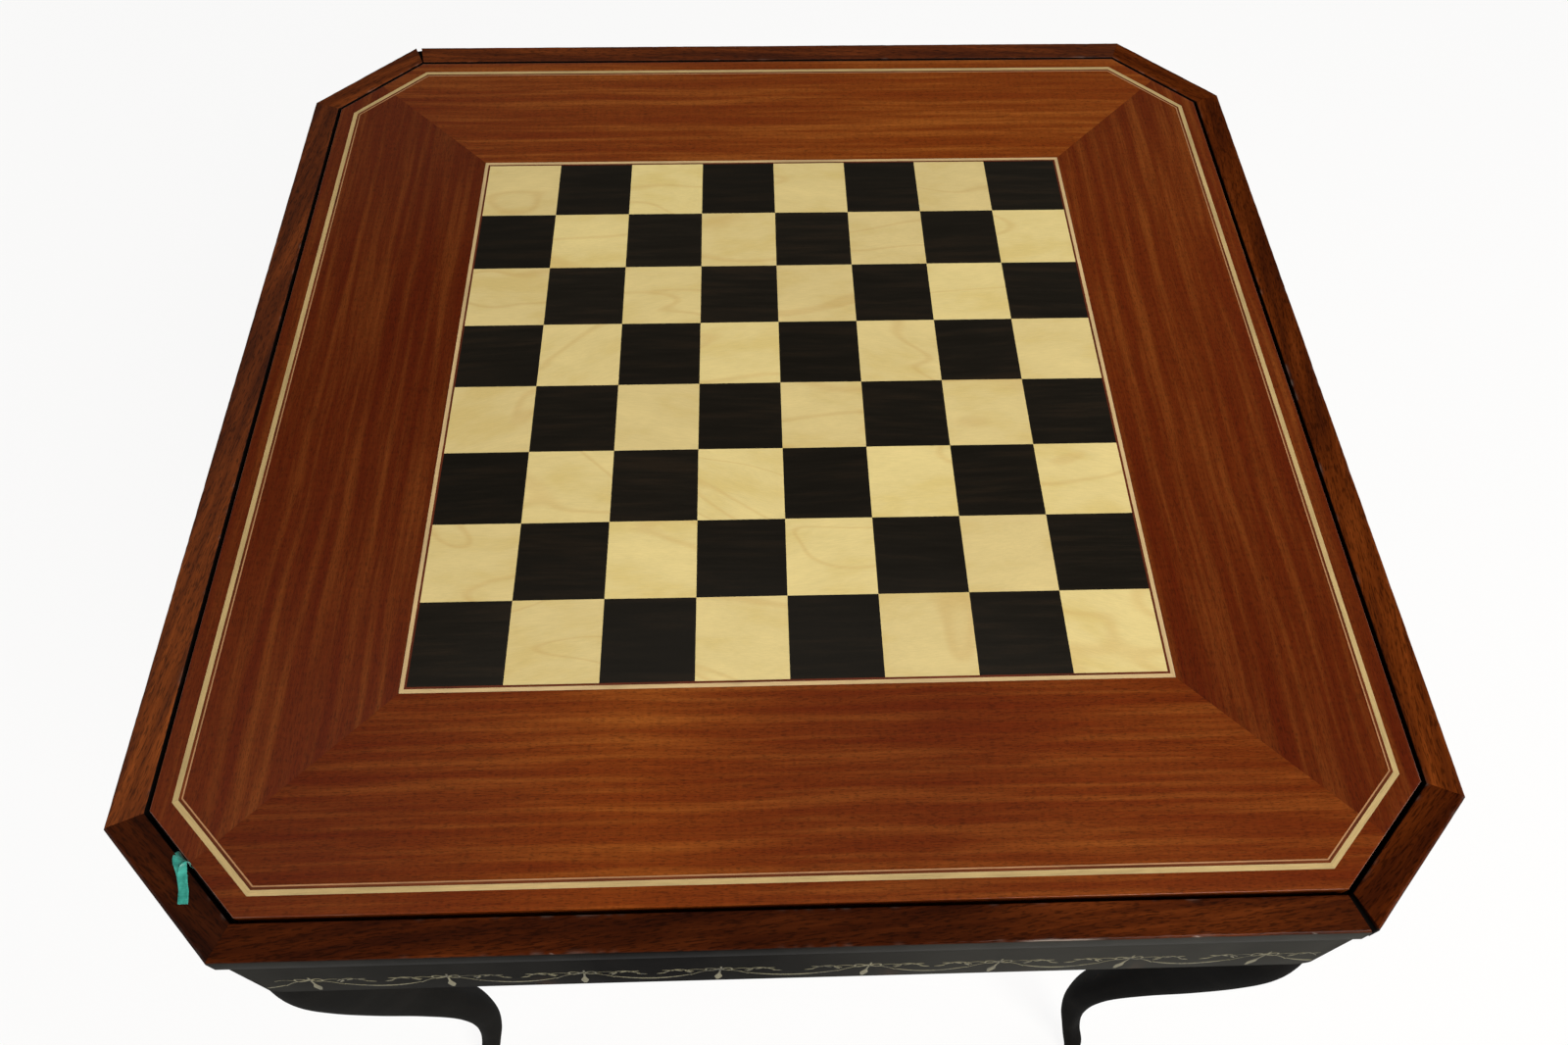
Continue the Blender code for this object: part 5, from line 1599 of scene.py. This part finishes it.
class GAMESTABLE_OT_legs(bpy.types.Operator):
    """Make the four cabriole legs"""

    bl_idname = "games_table.legs"
    bl_label = "Legs"
    bl_options = {"REGISTER", "UNDO"}

    def execute(self, context):
        make_legs(ebonised(context.scene.games_table_colours))
        return {"FINISHED"}


class GAMESTABLE_OT_well(bpy.types.Operator):
    """Make the games well under the panel, and its cloths"""

    bl_idname = "games_table.well"
    bl_label = "Games well"
    bl_options = {"REGISTER", "UNDO"}

    def execute(self, context):
        colours = context.scene.games_table_colours
        make_well(colours)
        make_cloths(colours)
        return {"FINISHED"}


class GAMESTABLE_OT_fixings(bpy.types.Operator):
    """Make bolts, screws and glides, and finish the steel brackets and nuts"""

    bl_idname = "games_table.fixings"
    bl_label = "Fixings"
    bl_options = {"REGISTER", "UNDO"}

    def execute(self, context):
        steel = zinc_steel()
        make_fixings(steel, nylon())
        make_screws(steel)
        for side in CORNERS:
            dress("bracket_" + side, steel)
            dress("leg_nut_" + side, steel)
        return {"FINISHED"}


class GAMESTABLE_OT_ribbon(bpy.types.Operator):
    """Make the satin tab that lifts the panel"""

    bl_idname = "games_table.ribbon"
    bl_label = "Ribbon tab"
    bl_options = {"REGISTER", "UNDO"}

    def execute(self, context):
        scene = context.scene
        make_ribbon(scene.games_table_sizes, satin(scene.games_table_colours))
        return {"FINISHED"}


class GAMESTABLE_OT_stage(bpy.types.Operator):
    """Make the floor, the lamps, the surroundings and the camera"""

    bl_idname = "games_table.stage"
    bl_label = "Stage"
    bl_options = {"REGISTER", "UNDO"}

    def execute(self, context):
        stage = context.scene.games_table_stage
        make_floor(stage)
        make_surroundings(context.scene)
        make_lamps(stage)
        make_camera(stage, context.scene)
        return {"FINISHED"}


# Stage


def make_floor(stage):
    """A wide level floor. The camera sees it lit for the most part by its own white, so the
    table's shadow on it stays soft."""
    own_white = 0.9
    half = 6.0
    made, tree, shader = start_material("studio_floor_painted")
    place = add_node(tree, "ShaderNodeTexCoord").outputs["Object"]
    cloud = add_node(tree, "ShaderNodeTexNoise", {"Vector": place, "Scale": 0.7, "Detail": 2.0})
    ramp = add_node(tree, "ShaderNodeValToRGB", {"Fac": cloud.outputs["Fac"]},
                    stops=((0.3, lightened(stage.floor, 0.97)), (0.7, tuple(stage.floor))))
    tree.links.new(ramp.outputs["Color"], shader.inputs["Base Color"])
    shader.inputs["Roughness"].default_value = 0.9
    shader.inputs["Specular IOR Level"].default_value = 0.0
    glow = add_node(tree, "ShaderNodeEmission", {"Color": (1.0, 1.0, 1.0), "Strength": 1.0})
    path = add_node(tree, "ShaderNodeLightPath")
    seen = add_node(tree, "ShaderNodeMath", {0: path.outputs["Is Camera Ray"],
                                             1: path.outputs["Is Glossy Ray"]}, operation="ADD")
    seen = add_node(tree, "ShaderNodeMath", {0: seen.outputs[0],
                                             1: path.outputs["Is Transmission Ray"]},
                    operation="ADD", use_clamp=True)
    share = add_node(tree, "ShaderNodeMath", {0: seen.outputs[0], 1: own_white},
                     operation="MULTIPLY")
    mixed = add_node(tree, "ShaderNodeMixShader", {0: share.outputs[0], 1: shader.outputs[0],
                                                   2: glow.outputs[0]})
    tree.links.new(mixed.outputs[0], tree.nodes["Material Output"].inputs["Surface"])
    mesh = bpy.data.meshes.new("floor")
    mesh.from_pydata([(-half, -half, 0.0), (half, -half, 0.0), (half, half, 0.0),
                      (-half, half, 0.0)], [], [(0, 1, 2, 3)])
    mesh.materials.append(made)
    floor = bpy.data.objects.new("floor", mesh)
    bpy.context.scene.collection.objects.link(floor)


def make_surroundings(scene):
    """A studio that is white round the horizon and dim overhead, so that the lacquered top
    mirrors little; straight overhead it is a shade brighter."""
    world = bpy.data.worlds.new("studio")
    scene.world = world
    world.use_nodes = True
    tree = world.node_tree
    tree.nodes.clear()
    upward = add_node(tree, "ShaderNodeSeparateXYZ", {
        "Vector": add_node(tree, "ShaderNodeTexCoord").outputs["Generated"]}).outputs["Z"]
    ramp = add_node(tree, "ShaderNodeValToRGB", {"Fac": upward},
                    stops=((0.0, 0.9), (0.30, (0.13, 0.115, 0.09)), (0.12, 0.85),
                           (0.862, (0.11, 0.095, 0.07)), (0.874, (0.30, 0.27, 0.22)),
                           (1.0, (0.24, 0.21, 0.17))))
    lit = add_node(tree, "ShaderNodeBackground", {"Color": ramp.outputs["Color"],
                                                  "Strength": 1.0})
    white = add_node(tree, "ShaderNodeBackground", {"Color": to_linear("#fafaf9"),
                                                    "Strength": 1.0})
    path = add_node(tree, "ShaderNodeLightPath")
    mixed = add_node(tree, "ShaderNodeMixShader", {0: path.outputs["Is Camera Ray"],
                                                   1: lit.outputs[0], 2: white.outputs[0]})
    output = add_node(tree, "ShaderNodeOutputWorld")
    tree.links.new(mixed.outputs[0], output.inputs["Surface"])


def make_lamps(stage):
    """Large soft lamps in front of the table and at its sides, outside what the top mirrors,
    all turned towards the middle of the top."""
    target = (0.0, 0.0, 0.7)
    for name, place, size, power in (
            ("key_lamp", (1.5, -2.4, 2.9), 1.6, stage.key),
            ("left_lamp", (-3.2, -0.6, 2.0), 1.8, stage.fill),
            ("right_lamp", (3.0, -0.2, 2.2), 1.8, stage.fill * 1.4)):
        data = bpy.data.lights.new(name, "AREA")
        data.shape = "SQUARE"
        data.size = size
        data.energy = power
        data.color = to_linear("#fffaf4")
        lamp = bpy.data.objects.new(name, data)
        bpy.context.scene.collection.objects.link(lamp)
        x, y, z = (value - aim for value, aim in zip(place, target))
        lamp.location = place
        lamp.rotation_euler = (math.atan2(math.hypot(x, y), z), 0.0, math.atan2(x, -y))


def make_camera(stage, scene):
    """The camera stands over the front edge of the table and looks steeply down on it."""
    data = bpy.data.cameras.new("camera")
    data.sensor_fit = "HORIZONTAL"
    data.sensor_width = 36.0
    data.lens = stage.lens
    data.shift_x = -0.0014
    data.shift_y = 0.0042
    data.clip_start = 0.05
    camera = bpy.data.objects.new("camera", data)
    scene.collection.objects.link(camera)
    camera.location = (-0.0176, -0.5067, 1.3961)
    camera.rotation_euler = [math.radians(angle) for angle in (32.1496, -0.6716, -1.6177)]
    scene.camera = camera
    scene.view_settings.view_transform = "Standard"


class GAMESTABLE_PT_panel(bpy.types.Panel):
    """Sizes, colours and the buttons that make the pieces."""

    bl_label = "Games table"
    bl_idname = "GAMESTABLE_PT_panel"
    bl_space_type = "VIEW_3D"
    bl_region_type = "UI"
    bl_category = "Games table"

    def draw(self, context):
        """List every setting, then one button for each operator."""
        for settings in (context.scene.games_table_sizes, context.scene.games_table_colours,
                         context.scene.games_table_stage):
            column = self.layout.column(align=True)
            for name in settings.__annotations__:
                column.prop(settings, name)
        for operator in OPERATORS:
            self.layout.operator(operator.bl_idname)


OPERATORS = (GAMESTABLE_OT_rails, GAMESTABLE_OT_panel, GAMESTABLE_OT_squares,
             GAMESTABLE_OT_aprons, GAMESTABLE_OT_legs, GAMESTABLE_OT_well,
             GAMESTABLE_OT_fixings, GAMESTABLE_OT_ribbon, GAMESTABLE_OT_stage)
SETTINGS = (("games_table_sizes", TableSizes), ("games_table_colours", TableColours),
            ("games_table_stage", TableStage))


def register():
    """Register the classes and hang the settings on the scene."""
    for name, group in SETTINGS:
        bpy.utils.register_class(group)
        setattr(bpy.types.Scene, name, bpy.props.PointerProperty(type=group))
    for each in (*OPERATORS, GAMESTABLE_PT_panel):
        bpy.utils.register_class(each)


def unregister():
    """Take the classes and the settings away again."""
    for each in (GAMESTABLE_PT_panel, *reversed(OPERATORS)):
        bpy.utils.unregister_class(each)
    for name, group in reversed(SETTINGS):
        delattr(bpy.types.Scene, name)
        bpy.utils.unregister_class(group)


def main():
    """Make the whole table and its stage."""
    register()
    for operator in OPERATORS:
        getattr(bpy.ops.games_table, operator.bl_idname.split(".")[1])()


if __name__ == "__main__":
    main()
